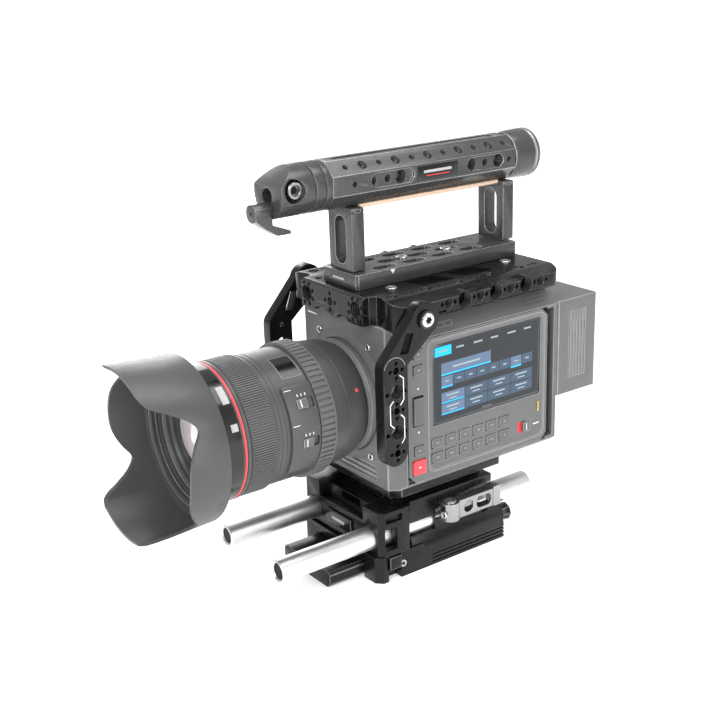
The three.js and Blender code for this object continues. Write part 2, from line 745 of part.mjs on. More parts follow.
function post(front, slotDepth) {
  const { half, thickness, bottom, top } = POST;
  const block = prismY(chamfered(-half, half, bottom, top, 0.8), front, front + thickness);
  const slot = prismY(rounded(-5.5, 5.5, bottom + slotDepth, top - 5.5, 5.4), front - 1, front + thickness + 1, 6);
  return cut(block, slot);
}
add("handle_post_front", handleGrey, post(POST.front, 4));
add("handle_post_rear", handleGrey, post(POST.rear, 4));

function octagon(flats, half) {
  const c = flats * (2 - Math.SQRT2);
  return chamfered(-half, half, TUBE.z - flats, TUBE.z + flats, c);
}

function handleTube() {
  const bar = prismY(octagon(TUBE.flats, TUBE.flats), TUBE.front + GAP, TUBE.rear - GAP);
  const stripSeat = box(-8.3, 8.3, -33, 78, 230, 233.8);
  const sidePockets = [-1, 1].flatMap((side) =>
    [
      [-28, 4],
      [46, 76],
    ].map(([y0, y1]) => prismX(chamfered(y0, y1, 243, 251.5, 3), ...sided(side, TUBE.flats - 1.6, 20))),
  );
  const topGroove = box(-4.5, 4.5, -46, 78, 259.6, 264);
  return cut(bar, stripSeat, ...sidePockets, topGroove);
}
add("handle_tube", handleGrey, handleTube());
add("grip_strip", paleWood, box(-8, 8, -32.5, 77.5, 231.2, 233.5));

function noseSocket() {
  const { front, cutZ, bevelEnd } = NOSE_SOCKET;
  const body = turned(
    [
      [0, front],
      [TUBE.radius, front],
      [TUBE.radius, -68.4],
      [TUBE.radius - 1, -67.8],
      [TUBE.radius, -67.2],
      [TUBE.radius, -61],
      [TUBE.radius - 1, -60.4],
      [TUBE.radius, -59.8],
      [TUBE.radius, TUBE.front],
      [0, TUBE.front],
    ],
    0,
    TUBE.z,
    28,
  );
  const bevel = prismX(
    [
      [front - 1, cutZ - 0.9],
      [bevelEnd, TUBE.z + TUBE.radius],
      [bevelEnd, TUBE.z + 20],
      [front - 1, TUBE.z + 20],
    ],
    -20,
    20,
  );
  const bore = rodY(5.5, -1.5, front - 1, front + 14, 245, 24);
  const sideSeats = [-1, 1].map((side) => rodX(7, ...sided(side, 7.5, 20), -82, 248.5, 24));
  const crossBore = rodX(4, -20, 20, -84, 248, 16);
  return cut(body, bevel, bore, ...sideSeats, crossBore);
}
add("handle_nose", handleGrey, noseSocket());
add("nose_clamp_bolt", bareSteel, rodX(5, 7.9, 12, -80, 248.5, 20));

const capProfile = [
  [0, TUBE.rear],
  [15, TUBE.rear],
  [15.4, 92],
  [15.8, 103.4],
  [15, 104],
  [15.8, 104.6],
  [15.8, 107],
  [14.6, 108.3],
  [0, 108.3],
];
add("handle_end_cap", handleGrey, turned(capProfile, 0, TUBE.z, 28));

const THUMB = { x: -1, z: 236.5, front: -104, face: -91.3 };

function noseLever() {
  const { x, z, front, face } = THUMB;
  const boss = rodY(5.4, x, front + 1.5, face, z, 24);
  const hook = prismX(
    [
      [front + 2, z - 4],
      [front + 8, z - 9],
      [face + 3, z - 14],
      [face + 12, z - 14],
      [face + 12, z - 12],
      [face + 5, z - 9.5],
      [face, z - 7.2],
      [face, z + 3],
      [front + 2, z + 3],
    ],
    x - 5,
    x + 5,
  );
  return join(boss, hook);
}
add("nose_lever", handleGrey, noseLever());

export default rig;
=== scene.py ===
"""Looks for the cinema camera rig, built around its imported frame."""

import json
import math

import bmesh
import bpy
from mathutils import Matrix, Vector


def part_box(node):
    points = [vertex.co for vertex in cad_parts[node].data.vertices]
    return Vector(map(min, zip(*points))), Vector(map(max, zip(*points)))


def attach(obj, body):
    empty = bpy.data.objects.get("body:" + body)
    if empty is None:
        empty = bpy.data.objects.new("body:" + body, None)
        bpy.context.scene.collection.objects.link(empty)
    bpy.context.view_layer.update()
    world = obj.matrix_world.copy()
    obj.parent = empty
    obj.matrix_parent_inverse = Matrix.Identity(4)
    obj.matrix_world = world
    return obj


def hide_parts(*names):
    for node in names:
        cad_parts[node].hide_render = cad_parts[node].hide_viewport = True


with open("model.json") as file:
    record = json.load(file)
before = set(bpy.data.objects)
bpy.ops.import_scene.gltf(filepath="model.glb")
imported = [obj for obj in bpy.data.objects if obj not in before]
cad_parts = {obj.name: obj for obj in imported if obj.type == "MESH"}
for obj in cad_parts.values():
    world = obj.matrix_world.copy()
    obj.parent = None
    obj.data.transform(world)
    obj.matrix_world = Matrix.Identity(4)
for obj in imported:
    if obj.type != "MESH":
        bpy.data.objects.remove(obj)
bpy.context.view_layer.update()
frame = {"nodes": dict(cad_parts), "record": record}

MM = 0.001  # every size below is in millimetres, and pieces are scaled to metres as they are made
NODES = frame["nodes"]
RECORD = frame["record"]
BODY_OF = {n: body for body, members in RECORD["behaviour"]["bodies"].items() for n in members}
SLOT_OF = {part["node"]: part["material_slot"] for part in RECORD["subparts"]}
LENS_Z = 114.5  # height of the lens axis
CENTER = (0, 0, LENS_Z)
REARWARD = (0, 1, 0)
FORWARD = (0, -1, 0)
UP = (0, 0, 1)
SIDES = ((1, "monitor_side"), (-1, "door_side"))


def limits(node):
    """The lowest and highest corner of a CAD node, in millimetres."""
    low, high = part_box(node)
    return low / MM, high / MM


# ---- materials ----
def shader(name):
    material = bpy.data.materials.new(name)
    material.use_nodes = True
    tree = material.node_tree
    return material, tree, tree.nodes["Principled BSDF"]


def noise(tree, scale, detail=3.0, stretch=(1, 1, 1)):
    """A noise pattern laid through the piece in object space; scale is in cycles per metre."""
    place = tree.nodes.new("ShaderNodeTexCoord")
    mapping = tree.nodes.new("ShaderNodeMapping")
    mapping.inputs["Scale"].default_value = stretch
    pattern = tree.nodes.new("ShaderNodeTexNoise")
    pattern.inputs["Scale"].default_value = scale
    pattern.inputs["Detail"].default_value = detail
    tree.links.new(place.outputs["Object"], mapping.inputs["Vector"])
    tree.links.new(mapping.outputs["Vector"], pattern.inputs["Vector"])
    return pattern.outputs["Fac"]


def spread(tree, factor, low, high, start=0.3, end=0.7):
    """Maps a 0 to 1 pattern onto the range low to high."""
    node = tree.nodes.new("ShaderNodeMapRange")
    for socket, value in zip(("From Min", "From Max", "To Min", "To Max"), (start, end, low, high)):
        node.inputs[socket].default_value = value
    tree.links.new(factor, node.inputs["Value"])
    return node.outputs["Result"]


def mixed(tree, factor, first, second):
    """A colour that goes from first to second with the factor."""
    node = tree.nodes.new("ShaderNodeMix")
    node.data_type = "RGBA"
    tree.links.new(factor, node.inputs["Factor"])
    for socket, value in (("A", first), ("B", second)):
        target = [s for s in node.inputs if s.name == socket and s.type == "RGBA"][0]
        if isinstance(value, bpy.types.NodeSocket):
            tree.links.new(value, target)
        else:
            target.default_value = (*value, 1)
    return [s for s in node.outputs if s.type == "RGBA"][0]


def surface(
    name, color, roughness, metallic=0.0, grain=0.08, grain_scale=2600, bump=0.06,
    mottle=0.12, mottle_scale=60, specular=0.5, coat=0.0,
):
    """A solid finish: mottled colour, uneven roughness, and a fine grain in the normal."""
    material, tree, bsdf = shader(name)
    bsdf.inputs["Metallic"].default_value = metallic
    bsdf.inputs["Specular IOR Level"].default_value = specular
    bsdf.inputs["Coat Weight"].default_value = coat
    darker = tuple(c * (1 - mottle) for c in color)
    lighter = tuple(min(1, c * (1 + mottle)) for c in color)
    base = mixed(tree, noise(tree, mottle_scale, 4), darker, lighter)
    fine = noise(tree, grain_scale, 2)
    fleck = tuple(min(1, c * 1.8 + 0.02) for c in color)
    speckled = mixed(tree, spread(tree, fine, 0, grain), base, fleck)
    tree.links.new(speckled, bsdf.inputs["Base Color"])
    worn = noise(tree, mottle_scale * 3, 3)
    uneven = spread(tree, worn, roughness * 0.88, min(1, roughness * 1.12))
    tree.links.new(uneven, bsdf.inputs["Roughness"])
    relief = tree.nodes.new("ShaderNodeBump")
    relief.inputs["Strength"].default_value = bump
    relief.inputs["Distance"].default_value = 0.0002
    tree.links.new(fine, relief.inputs["Height"])
    tree.links.new(relief.outputs["Normal"], bsdf.inputs["Normal"])
    return material


def glass(name, color, tint):
    """Coated optical glass: its colour, partly painted reflection on the front element and painted shade in
    its dark ring, shifts a little from place to place.
    """
    material, tree, bsdf = shader(name)
    tree.links.new(mixed(tree, noise(tree, 25, 1), color, tint), bsdf.inputs["Base Color"])
    tree.links.new(spread(tree, noise(tree, 40, 1), 0.03, 0.08), bsdf.inputs["Roughness"])
    bsdf.inputs["Metallic"].default_value = 0.15
    bsdf.inputs["Coat Weight"].default_value = 1
    bsdf.inputs["Coat Roughness"].default_value = 0.02
    return material


def lit(name, color, strength=0.6):
    """A patch of the display: it glows, with the faint unevenness of a backlight."""
    material, tree, bsdf = shader(name)
    tone = mixed(tree, noise(tree, 300, 2), tuple(c * 0.92 for c in color), color)
    tree.links.new(tone, bsdf.inputs["Base Color"])
    tree.links.new(tone, bsdf.inputs["Emission Color"])
    bsdf.inputs["Emission Strength"].default_value = strength
    bsdf.inputs["Specular IOR Level"].default_value = 0.3
    tree.links.new(spread(tree, noise(tree, 60, 2), 0.1, 0.16), bsdf.inputs["Roughness"])
    return material


def wood(name, light, dark):
    """Straight grain along Y."""
    material, tree, bsdf = shader(name)
    tone = mixed(tree, spread(tree, noise(tree, 900, 5, (1, 0.03, 1)), 0, 1), light, dark)
    tree.links.new(tone, bsdf.inputs["Base Color"])
    tree.links.new(spread(tree, noise(tree, 500, 3, (1, 0.05, 1)), 0.45, 0.65), bsdf.inputs["Roughness"])
    return material


SLOTS = {
    "anodised_black": surface(
        "anodised_black", (0.005, 0.005, 0.0055), 0.26, 0.0, 0.04, 3200, 0.03, specular=0.26
    ),
    "handle_grey": surface(
        "handle_grey", (0.058, 0.0585, 0.06), 0.27, 0.25, 0.05, 2400, 0.02, specular=0.45
    ),
    "bright_steel": surface("bright_steel", (0.80, 0.80, 0.805), 0.36, 0.95, 0.03, 1500, 0.01, 0.03, 60),
    "body_grey": surface("body_grey", (0.108, 0.109, 0.111), 0.48, 0.0, 0.25, 2600, 0.12),
    "lens_grey": surface("lens_grey", (0.054, 0.0545, 0.056), 0.4, 0.0, 0.18, 3000, 0.10),
    "ribbed_rubber": surface("ribbed_rubber", (0.088, 0.0885, 0.09), 0.5, 0.0, 0.2, 2200, 0.10),
    "key_grey": surface("key_grey", (0.098, 0.099, 0.101), 0.48, 0.0, 0.12, 3000, 0.06),
    "screen": surface("screen", (0.03, 0.033, 0.036), 0.14, 0.0, 0.03, 600, 0.0, coat=0.3),
    # The optic's pale pink colour is partly the coating's tint and partly a painted reflection of the bright
    # surroundings.
    "optic": glass("optic", (0.80, 0.74, 0.75), (0.62, 0.54, 0.56)),
    "record_red": surface("record_red", (0.80, 0.055, 0.07), 0.4, 0.0, 0.06, 2400, 0.05, 0.06),
    "pale_wood": wood("pale_wood", (0.80, 0.61, 0.46), (0.64, 0.45, 0.32)),
}
# The narrow rounded edges of these finishes are painted lighter: painted highlights along the edges.
EDGE_HIGHLIGHTS = {
    "anodised_black": surface("edge_black", (0.09, 0.09, 0.092), 0.3, 0.4, mottle=0.5, mottle_scale=120),
    "handle_grey": surface("edge_handle", (0.30, 0.30, 0.305), 0.28, 0.6, mottle=0.4, mottle_scale=120),
    "body_grey": surface("edge_body", (0.24, 0.24, 0.243), 0.4, mottle=0.3, mottle_scale=120),
    "lens_grey": surface("edge_lens", (0.19, 0.19, 0.192), 0.4, mottle=0.3, mottle_scale=120),
    "ribbed_rubber": surface("edge_rubber", (0.15, 0.15, 0.152), 0.5, mottle=0.3, mottle_scale=120),
    "key_grey": surface("edge_key", (0.24, 0.24, 0.243), 0.45, mottle=0.3, mottle_scale=120),
}
WHITE_PAINT = surface("white_paint", (0.85, 0.85, 0.84), 0.5, mottle=0.04)
GREY_PAINT = surface("grey_paint", (0.36, 0.36, 0.36), 0.5, mottle=0.08)
RED_PAINT = surface("red_paint", (0.78, 0.03, 0.035), 0.42, mottle=0.06)
YELLOW_PAINT = surface("yellow_paint", (0.55, 0.42, 0.05), 0.45, mottle=0.06)
# pale_patch stands for printed labels, and on the thin rings of the front barrel it is a painted highlight.
PALE_PATCH = surface("pale_patch", (0.42, 0.42, 0.43), 0.4, mottle=0.2, mottle_scale=500)
GLOSS_BLACK = surface("gloss_black", (0.006, 0.006, 0.0065), 0.12, mottle=0.1)
# Near-black painted shade, laid at the bottom of sockets, bores and seats where shade falls.
HOLE_SHADE = surface("hole_shade", (0.003, 0.003, 0.003), 0.5, 0.0, specular=0.2)
THREAD = surface("thread", (0.02, 0.02, 0.021), 0.3, 0.3)
# Painted highlights on hole rims, slot edges, the bracket arc and the nose bore; also the mid-steel colour of
# the nose clamp bolt's head.
HIGHLIGHT_AND_STEEL = surface("highlight_and_steel", (0.30, 0.30, 0.305), 0.25, 0.9, mottle=0.3, mottle_scale=200)
LEVER_METAL = surface("lever_metal", (0.33, 0.33, 0.335), 0.28, 0.9, 0.05, bump=0.02, mottle=0.1)
STEEL_RING = surface("steel_ring", (0.62, 0.62, 0.62), 0.22, 0.9, mottle=0.1, mottle_scale=200)
# A dark glass laid over the outer ring of the front element as painted shade.
PAINTED_GLASS_SHADE = glass("painted_glass_shade", (0.012, 0.011, 0.013), (0.03, 0.022, 0.026))
LCD_BLUE = lit("lcd_blue", (0.0, 0.36, 0.80), 0.9)
LCD_TILE = lit("lcd_tile", (0.040, 0.068, 0.105), 0.5)
LCD_TILE_ON = lit("lcd_tile_on", (0.085, 0.13, 0.205), 0.5)
LCD_TEXT = lit("lcd_text", (0.26, 0.30, 0.34), 0.4)
LCD_BACK = lit("lcd_back", (0.018, 0.021, 0.024), 0.4)
# The record's slot for a paint; the dark ones belong to anodised_black.
PAINT_SLOT = {
    "white_paint": "bright_steel",
    "pale_patch": "bright_steel",
    "steel_ring": "bright_steel",
    "grey_paint": "body_grey",
    "red_paint": "record_red",
}


# ---- mesh helpers, in millimetres ----
def basis(axis):
    """A matrix that turns +Z onto the axis."""
    z = Vector(axis).normalized()
    side = Vector((0, 1, 0)) if abs(z.x) > 0.9 else Vector((1, 0, 0))
    x = (side - z * side.dot(z)).normalized()
    return Matrix((x, z.cross(x), z)).transposed().to_4x4()


def add_turned(bm, profile, center, axis, sides=32, closed=False):
    """Turns a profile of (radius, height) about an axis; closed joins its last ring to the first."""
    place = Matrix.Translation(Vector(center)) @ basis(axis)
    rings = []
    for radius, height in profile:
        if radius == 0:
            rings.append([bm.verts.new(place @ Vector((0, 0, height)))])
            continue
        angles = [2 * math.pi * i / sides for i in range(sides)]
        points = [Vector((radius * math.cos(a), radius * math.sin(a), height)) for a in angles]
        rings.append([bm.verts.new(place @ p) for p in points])
    pairs = list(zip(rings, rings[1:]))
    if closed:
        pairs.append((rings[-1], rings[0]))
    for low, high in pairs:
        for i in range(sides):
            j = (i + 1) % sides
            corners = [low[i % len(low)], low[j % len(low)], high[j % len(high)], high[i % len(high)]]
            face = list(dict.fromkeys(corners))
            if len(face) > 2:
                bm.faces.new(face)


def add_rod(bm, center, axis, radius, low, high, sides=24):
    add_turned(bm, [(0, low), (radius, low), (radius, high), (0, high)], center, axis, sides)


def add_box(bm, low, high, matrix=None):
    low, high = Vector(low), Vector(high)
    place = Matrix.Translation((low + high) / 2) @ Matrix.Diagonal((*(high - low), 1))
    bmesh.ops.create_cube(bm, size=1, matrix=(matrix or Matrix.Identity(4)) @ place)


def add_prism(bm, outline, axis, low, high):
    """Extrudes an outline between low and high on the axis: [y, z] for x, [x, z] for y, [x, y] for z."""
    order = {
        "x": lambda a, b, h: (h, a, b),
        "y": lambda a, b, h: (a, h, b),
        "z": lambda a, b, h: (a, b, h),
    }[axis]
    loops = [[bm.verts.new(order(a, b, h)) for a, b in outline] for h in (low, high)]
    bm.faces.new(loops[0])
    bm.faces.new(list(reversed(loops[1])))
    count = len(outline)
    for i in range(count):
        j = (i + 1) % count
        bm.faces.new([loops[0][i], loops[0][j], loops[1][j], loops[1][i]])


def add_belt(bm, outline, center, y0, y1, depth):
    """A thin square loop round a section of (x, z) points, sunk by depth; used to cut a seam."""
    loops = []
    for grow, y in ((-depth, y0), (-depth, y1), (depth, y1), (depth, y0)):
        ring = []
        for x, z in outline:
            out = Vector((x - center[0], z - center[1]))
            out += Vector((math.copysign(grow, out.x), math.copysign(grow, out.y)))
            ring.append(bm.verts.new((center[0] + out.x, y, center[1] + out.y)))
        loops.append(ring)
    count = len(outline)
    for first, second in zip(loops, loops[1:] + loops[:1]):
        for i in range(count):
            j = (i + 1) % count
            bm.faces.new((first[i], first[j], second[j], second[i]))


def add_strip(bm, points, width, axis, low, high):
    """A flat line of even width along 2-D points, lifted between low and high on the axis."""
    points = [Vector(p) for p in points]
    left, right = [], []
    for i, point in enumerate(points):
        before = (point - points[i - 1]).normalized() if i else (points[1] - point).normalized()
        after = (points[i + 1] - point).normalized() if i + 1 < len(points) else before
        along = (before + after).normalized()
        side = Vector((-along.y, along.x)) * (width / 2) / max(0.5, along.dot(before))
        left.append(tuple(point + side))
        right.append(tuple(point - side))
    add_prism(bm, left + right[::-1], axis, low, high)


def arc_points(radius, angles):
    """Points (x, z) about the lens axis, at angles above the horizontal in degrees."""
    turns = [math.radians(angle) for angle in angles]
    return [(radius * math.cos(t), LENS_Z + radius * math.sin(t)) for t in turns]


def add_arc_patch(bm, radius, lift, y0, y1, start, end, steps=12):
    """A thin patch that follows the lens barrel between two angles."""
    angles = [start + (end - start) * i / steps for i in range(steps + 1)]
    outer = arc_points(radius + lift, angles)
    inner = arc_points(radius - 0.2, angles)
    add_prism(bm, outer + inner[::-1], "y", y0, y1)


def rounded(a0, a1, b0, b1, radius):
    """The corners of a rectangle with round corners."""
    steps = 6
    corners = []
    left, right, bottom, top = a0 + radius, a1 - radius, b0 + radius, b1 - radius
    centers = [(right, bottom), (right, top), (left, top), (left, bottom)]
    for turn, (a, b) in enumerate(centers):
        for i in range(steps + 1):
            angle = math.radians(-90 + 90 * turn + 90 * i / steps)
            corners.append((a + radius * math.cos(angle), b + radius * math.sin(angle)))
    return corners


def between(sign, first, second):
    """The two distances on the sign's side of the middle, lower first."""
    return sorted((sign * first, sign * second))


def baked(obj):
    """Applies the object's modifiers to its mesh."""
    bpy.context.view_layer.update()
    evaluated = obj.evaluated_get(bpy.context.evaluated_depsgraph_get())
    mesh = bpy.data.meshes.new_from_object(evaluated)
    obj.modifiers.clear()
    old, obj.data = obj.data, mesh
    bpy.data.meshes.remove(old)


def object_of(name, bm):
    """Makes an object from millimetre geometry, and frees the bmesh."""
    bmesh.ops.recalc_face_normals(bm, faces=bm.faces)
    mesh = bpy.data.meshes.new(name)
    bm.to_mesh(mesh)
    bm.free()
    mesh.transform(Matrix.Scale(MM, 4))
    obj = bpy.data.objects.new(name, mesh)
    bpy.context.scene.collection.objects.link(obj)
    return obj


def beveled(obj, width, segments=2, angle=30, edge_slot=-1):
    """Rounds the sharp edges; the new faces take the material of edge_slot."""
    modifier = obj.modifiers.new("edges", "BEVEL")
    modifier.material = edge_slot
    modifier.width = width * MM
    modifier.segments = segments
    modifier.limit_method = "ANGLE"
    modifier.angle_limit = math.radians(angle)
    modifier.harden_normals = False
    baked(obj)


def coated(obj, paints):
    """Gives the object its main and edge materials; returns the edge material's slot, or -1."""
    for paint in paints:
        if paint:
            obj.data.materials.append(paint)
    return 1 if paints[1] else -1


def carved(obj, cutters, operation="DIFFERENCE"):
    """Cuts the cutters' shapes out of the object, or joins them on."""
    tool = object_of("cutters", cutters)
    modifier = obj.modifiers.new("carve", "BOOLEAN")
    modifier.operation = operation
    modifier.solver = "EXACT"
    modifier.use_self = True
    modifier.object = tool
    baked(obj)
    mesh = tool.data
    bpy.data.objects.remove(tool)
    bpy.data.meshes.remove(mesh)


def finished(obj, slot, body, material=None, stands_for=(), smooth_angle=32):
    """Shades, paints and hangs a piece on its body."""
    obj.data.shade_smooth()
    obj.data.set_sharp_from_angle(angle=math.radians(smooth_angle))
    if not obj.data.materials:
        obj.data.materials.append(material or SLOTS[slot])
    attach(obj, body)
    if stands_for:
        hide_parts(*stands_for)
    return obj


def piece(
    name, bm, slot, body, material=None, bevel=0.0, stands_for=(), cutters=None, smooth_angle=32
):
    """One named piece of the visual model, from millimetre geometry."""
    obj = object_of(name, bm)
    if bevel:
        beveled(obj, bevel)
    if cutters:
        carved(obj, cutters)
    return finished(obj, slot, body, material, stands_for, smooth_angle)


def painted(name, bm, paint, body="rig"):
    """A piece with a paint or small finish of its own."""
    return piece(name, bm, PAINT_SLOT.get(paint.name, "anodised_black"), body, paint)


def plate(name, outline, axis, low, high, slot, material=None, bevel=0.0):
    """A fixed piece made of one extruded outline."""
    bm = bmesh.new()
    add_prism(bm, outline, axis, low, high)
    return piece(name, bm, slot, "rig", material, bevel)


def dressed(node, bevel=0.4, segments=2, cutters=None, added=None, paints=None):
    """A CAD node's own shape with rounded edges, cut holes and a finish."""
    bm = bmesh.new()
    bm.from_mesh(NODES[node].data)
    bmesh.ops.remove_doubles(bm, verts=bm.verts, dist=2e-6)
    bmesh.ops.dissolve_limit(bm, angle_limit=math.radians(0.6), verts=bm.verts, edges=bm.edges)
    bmesh.ops.scale(bm, vec=Vector((1 / MM,) * 3), verts=bm.verts)
    obj = object_of(node + "_skin", bm)
    finish = SLOT_OF[node]
    # The bevel faces take the lighter edge finish, a painted highlight.
    edge_slot = coated(obj, paints or (SLOTS[finish], EDGE_HIGHLIGHTS.get(finish)))
    if bevel:
        beveled(obj, bevel, segments, edge_slot=edge_slot)
    if added:
        carved(obj, added, "UNION")
    if cutters:
        carved(obj, cutters)
    return finished(obj, finish, BODY_OF[node], None, (node,))


# ---- repeated small pieces ----
def drill(bm, center, axis, radius, depth, chamfer=0.4, sides=20):
    """A cutter for a hole whose mouth is at center, facing along the axis, with a chamfered rim."""
    mouth = radius + chamfer
    profile = [(0, -depth), (radius, -depth), (radius, -chamfer), (mouth, 0), (mouth, 0.6), (0, 0.6)]
    add_turned(bm, profile, center, axis, sides)


def add_thread(bm, center, axis, radius, depth):
    """Thread crests as fine rings down a hole."""
    pitch = 1.3
    for i in range(1, int(depth / pitch)):
        height = -i * pitch
        loop = [(radius + 0.05, height - 0.3), (radius + 0.05, height + 0.3), (radius - 0.35, height)]
        add_turned(bm, loop, center, axis, 20, closed=True)


def add_rim_highlight(bm, center, axis, radius, width):
    """A painted highlight round the rim of a hole."""
    loop = [(radius, -0.25), (radius + width, 0.03), (radius + width, -0.15), (radius, -0.45)]
    add_turned(bm, loop, center, axis, 28, closed=True)


def add_hole(sets, center, axis, radius, depth, chamfer, rim=None):
    """A hole in the (holes, threads, rims) sets; with a rim, (gap, width), it is threaded and gets a painted
    highlight ring at its mouth.
    """
    holes, threads, rims = sets
    drill(holes, center, axis, radius, depth, chamfer)
    if rim:
        add_thread(threads, center, axis, radius, depth)
        add_rim_highlight(rims, center, axis, radius + rim[0], rim[1])


def add_screw(bright, dark, center, axis, radius, height, socket, sides=28):
    """A socket screw: a bright head with a bevelled rim, and a dark hexagon down in its socket as painted
    shade.
    """
    floor = height * 0.35
    profile = [
        (0, floor), (socket * 1.15, floor), (socket * 1.15, height * 0.86), (socket * 1.3, height),
        (radius - 0.35, height), (radius, height - 0.35), (radius, 0), (0, 0),
    ]
    add_turned(bright, profile, center, axis, sides)
    add_rod(dark, center, axis, socket, height * 0.3, height * 0.42, 6)


def screws(head_name, socket_name, body, rows, sides=28, paint=STEEL_RING, stands_for=()):
    """Screws as two pieces; each row is (center, axis, radius, height, socket radius)."""
    bright, dark = bmesh.new(), bmesh.new()
    for row in rows:
        add_screw(bright, dark, *row, sides)
    piece(head_name, bright, "bright_steel", body, paint, stands_for=stands_for)
    painted(socket_name, dark, HOLE_SHADE, body)


# ---- rods, base and clamp ----
def make_base():
    dressed("dovetail_plate", 0.5)
    bolt_y, bolt_z = -32, 9
    side = limits("base_body")[1].x
    holes = bmesh.new()
    for sign in (1, -1):
        drill(holes, (sign * side, bolt_y, bolt_z), (sign, 0, 0), 2.6, 4)
    dressed("base_body", 0.5, cutters=holes)
    for sign, label in SIDES:
        place = (sign * (side - 1.2), bolt_y, bolt_z)
        row = (place, (sign, 0, 0), 2.5, 1.2, 1.3)
        screws(f"base_screw_{label}", f"base_screw_socket_{label}", "rig", [row])
    dressed("rod_clamp_block", 0.7)
    dressed("name_plate", 0.4)
    low, high = limits("name_plate")
    face = low.y
    middle = (low.z + high.z) / 2
    outline = rounded(low.x + 1, high.x - 1, low.z + 0.9, high.z - 0.9, 0.6)
    plate("name_plate_inlay", outline, "y", face - 0.02, face + 0.3, "anodised_black", GLOSS_BLACK)
    outline = rounded(low.x + 7, high.x - 7, middle - 1, middle + 1, 0.9)
    plate("name_plate_patch", outline, "y", face - 0.06, face + 0.2, "bright_steel", PALE_PATCH)
    dressed("camera_plate", 0.6)
    dressed("safety_latch", 0.5)
    dressed("dovetail_knob", 0.7, 3)


def make_rods():
    for label in ("door_side", "monitor_side"):
        node = f"rod_{label}"
        body = BODY_OF[node]
        low, high = limits(node)
        middle = (low + high) / 2
        radius = (high.x - low.x) / 2
        half = (high.y - low.y) / 2
        bore = radius * 0.7
        mouth, edge = bore + 0.9, radius - 0.7
        wall = [
            (bore, -half + 1), (mouth, -half), (edge, -half), (radius, -half + 0.7),
            (radius, half - 0.7), (edge, half), (mouth, half), (bore, half - 1),
        ]
        tube, bore_shade = bmesh.new(), bmesh.new()
        add_turned(tube, wall, middle, REARWARD, 96, closed=True)
        piece(f"rod_tube_{label}", tube, SLOT_OF[node], body, stands_for=(node,))
        # Near-black discs just inside each end of the bore: painted shade in the hollow rod.
        for end in (-half + 1.2, half - 1.7):
            add_rod(bore_shade, middle, REARWARD, bore - 0.02, end, end + 0.5, 48)
        painted(f"rod_plug_{label}", bore_shade, HOLE_SHADE, body)


def make_lever():
    # The lever's rounded edges take the bright steel ring finish as painted highlights.
    dressed("rod_lever", 0.8, 3, paints=(LEVER_METAL, STEEL_RING))
    dressed("rod_lever_stud", 0.25)
    front = limits("rod_lever")[0].y
    eye_x, eye_y, eye_top = 44.6, 4, 42
    rows = [
        ((eye_x, eye_y, eye_top), UP, 4, 0.9, 2),
        ((eye_x + 2, front + 0.3, 35), FORWARD, 2.4, 1.2, 1.3),
    ]
    screws("rod_lever_screw", "rod_lever_screw_socket", "rod_lever", rows)


# ---- camera ----
def make_camera_body():
    low, high = limits("camera_body")
    shoulder, crown, keel, lift = 157.3, 42, 46, 3
    section = [
        (keel, low.z), (high.x, low.z + lift), (high.x, shoulder), (crown, high.z),
        (-crown, high.z), (low.x, shoulder), (low.x, low.z + lift), (-keel, low.z),
    ]
    cuts = bmesh.new()
    for y in (82.4, 86.6):
        add_belt(cuts, section, (0, 114), y, y + 0.45, 0.45)
    for i in range(6):
        add_box(cuts, (low.x - 1, 10 + 9 * i, 84), (low.x + 1.2, 14 + 9 * i, 140))
    for i in range(9):
        for k in range(3):
            place = (43.4 + 2 * k, 66 + 1.8 * i, 165 - 2.1 * k)
            add_rod(cuts, place, (0.74, 0, 0.67), 0.45, -1.5, 1.5, 8)
    dressed("camera_body", 1.4, 4, cutters=cuts)
    sockets = bmesh.new()
    slope = Matrix.Translation((46.1, -0.9, 161.5)) @ basis((0.736, 0, 0.677))
    for middle in (-3.3, 3.3):
        for x in (-1.8, 1.5):
            add_box(sockets, (x, middle - 2.6, -0.4), (x + 0.3, middle + 2.6, 0.15), slope)
        for y in (middle - 2.8, middle + 2.5):
            add_box(sockets, (-1.8, y, -0.4), (1.8, y + 0.3, 0.15), slope)
    painted("side_socket_frames", sockets, GREY_PAINT)
    make_door_side()
    dressed("front_housing", 0.9, 3)
    face = limits("front_housing")[0].y
    x, upper, lower = 25.4, 150.5, 79.6
    for index, (x, z) in enumerate(((x, upper), (-x, upper), (x, lower), (-x, lower)), 1):
        row = ((x, face - 0.1, z), FORWARD, 2.4, 0.7, 1.45)
        screws(f"housing_screw_{index}", f"housing_screw_socket_{index}", "rig", [row])
    lip = bmesh.new()
    rim = [(36.4, face + 0.2), (36.4, face - 1.6), (37.4, face - 1.6), (40.5, face - 0.6), (42.5, face + 0.2)]
    add_turned(lip, rim, CENTER, REARWARD, 96, closed=True)
    piece("housing_lip", lip, "body_grey", "rig")
    outline = rounded(-38, -28, 159.4, 160.2, 0.3)
    plate("front_tally", outline, "y", face - 0.06, face + 0.2, "bright_steel", WHITE_PAINT)
    dressed("lens_mount_ring", 0.2)
    dressed("image_sensor", 0.3)
    dressed("battery", 1.1, 3)
    dressed("battery_latch", 0.9, 3)


def make_door_side():
    """The far side of the camera: a card door with a finger lip, and rubber covers over the sockets."""
    side = limits("camera_body")[0].x
    plate("card_door", rounded(-24, 4, 72, 150, 4), "x", side - 0.35, side + 0.5, "body_grey", bevel=0.3)
    outline = rounded(-22, -19, 100, 122, 1.2)
    plate("card_door_lip", outline, "x", side - 0.7, side, "key_grey", bevel=0.25)
    covers = bmesh.new()
    for i in range(4):
        outline = rounded(66, 79, 74 + 19 * i, 90 + 19 * i, 2.5)
        add_prism(covers, outline, "x", side - 0.5, side + 0.3)
    piece("socket_covers", covers, "ribbed_rubber", "rig", None, 0.3)


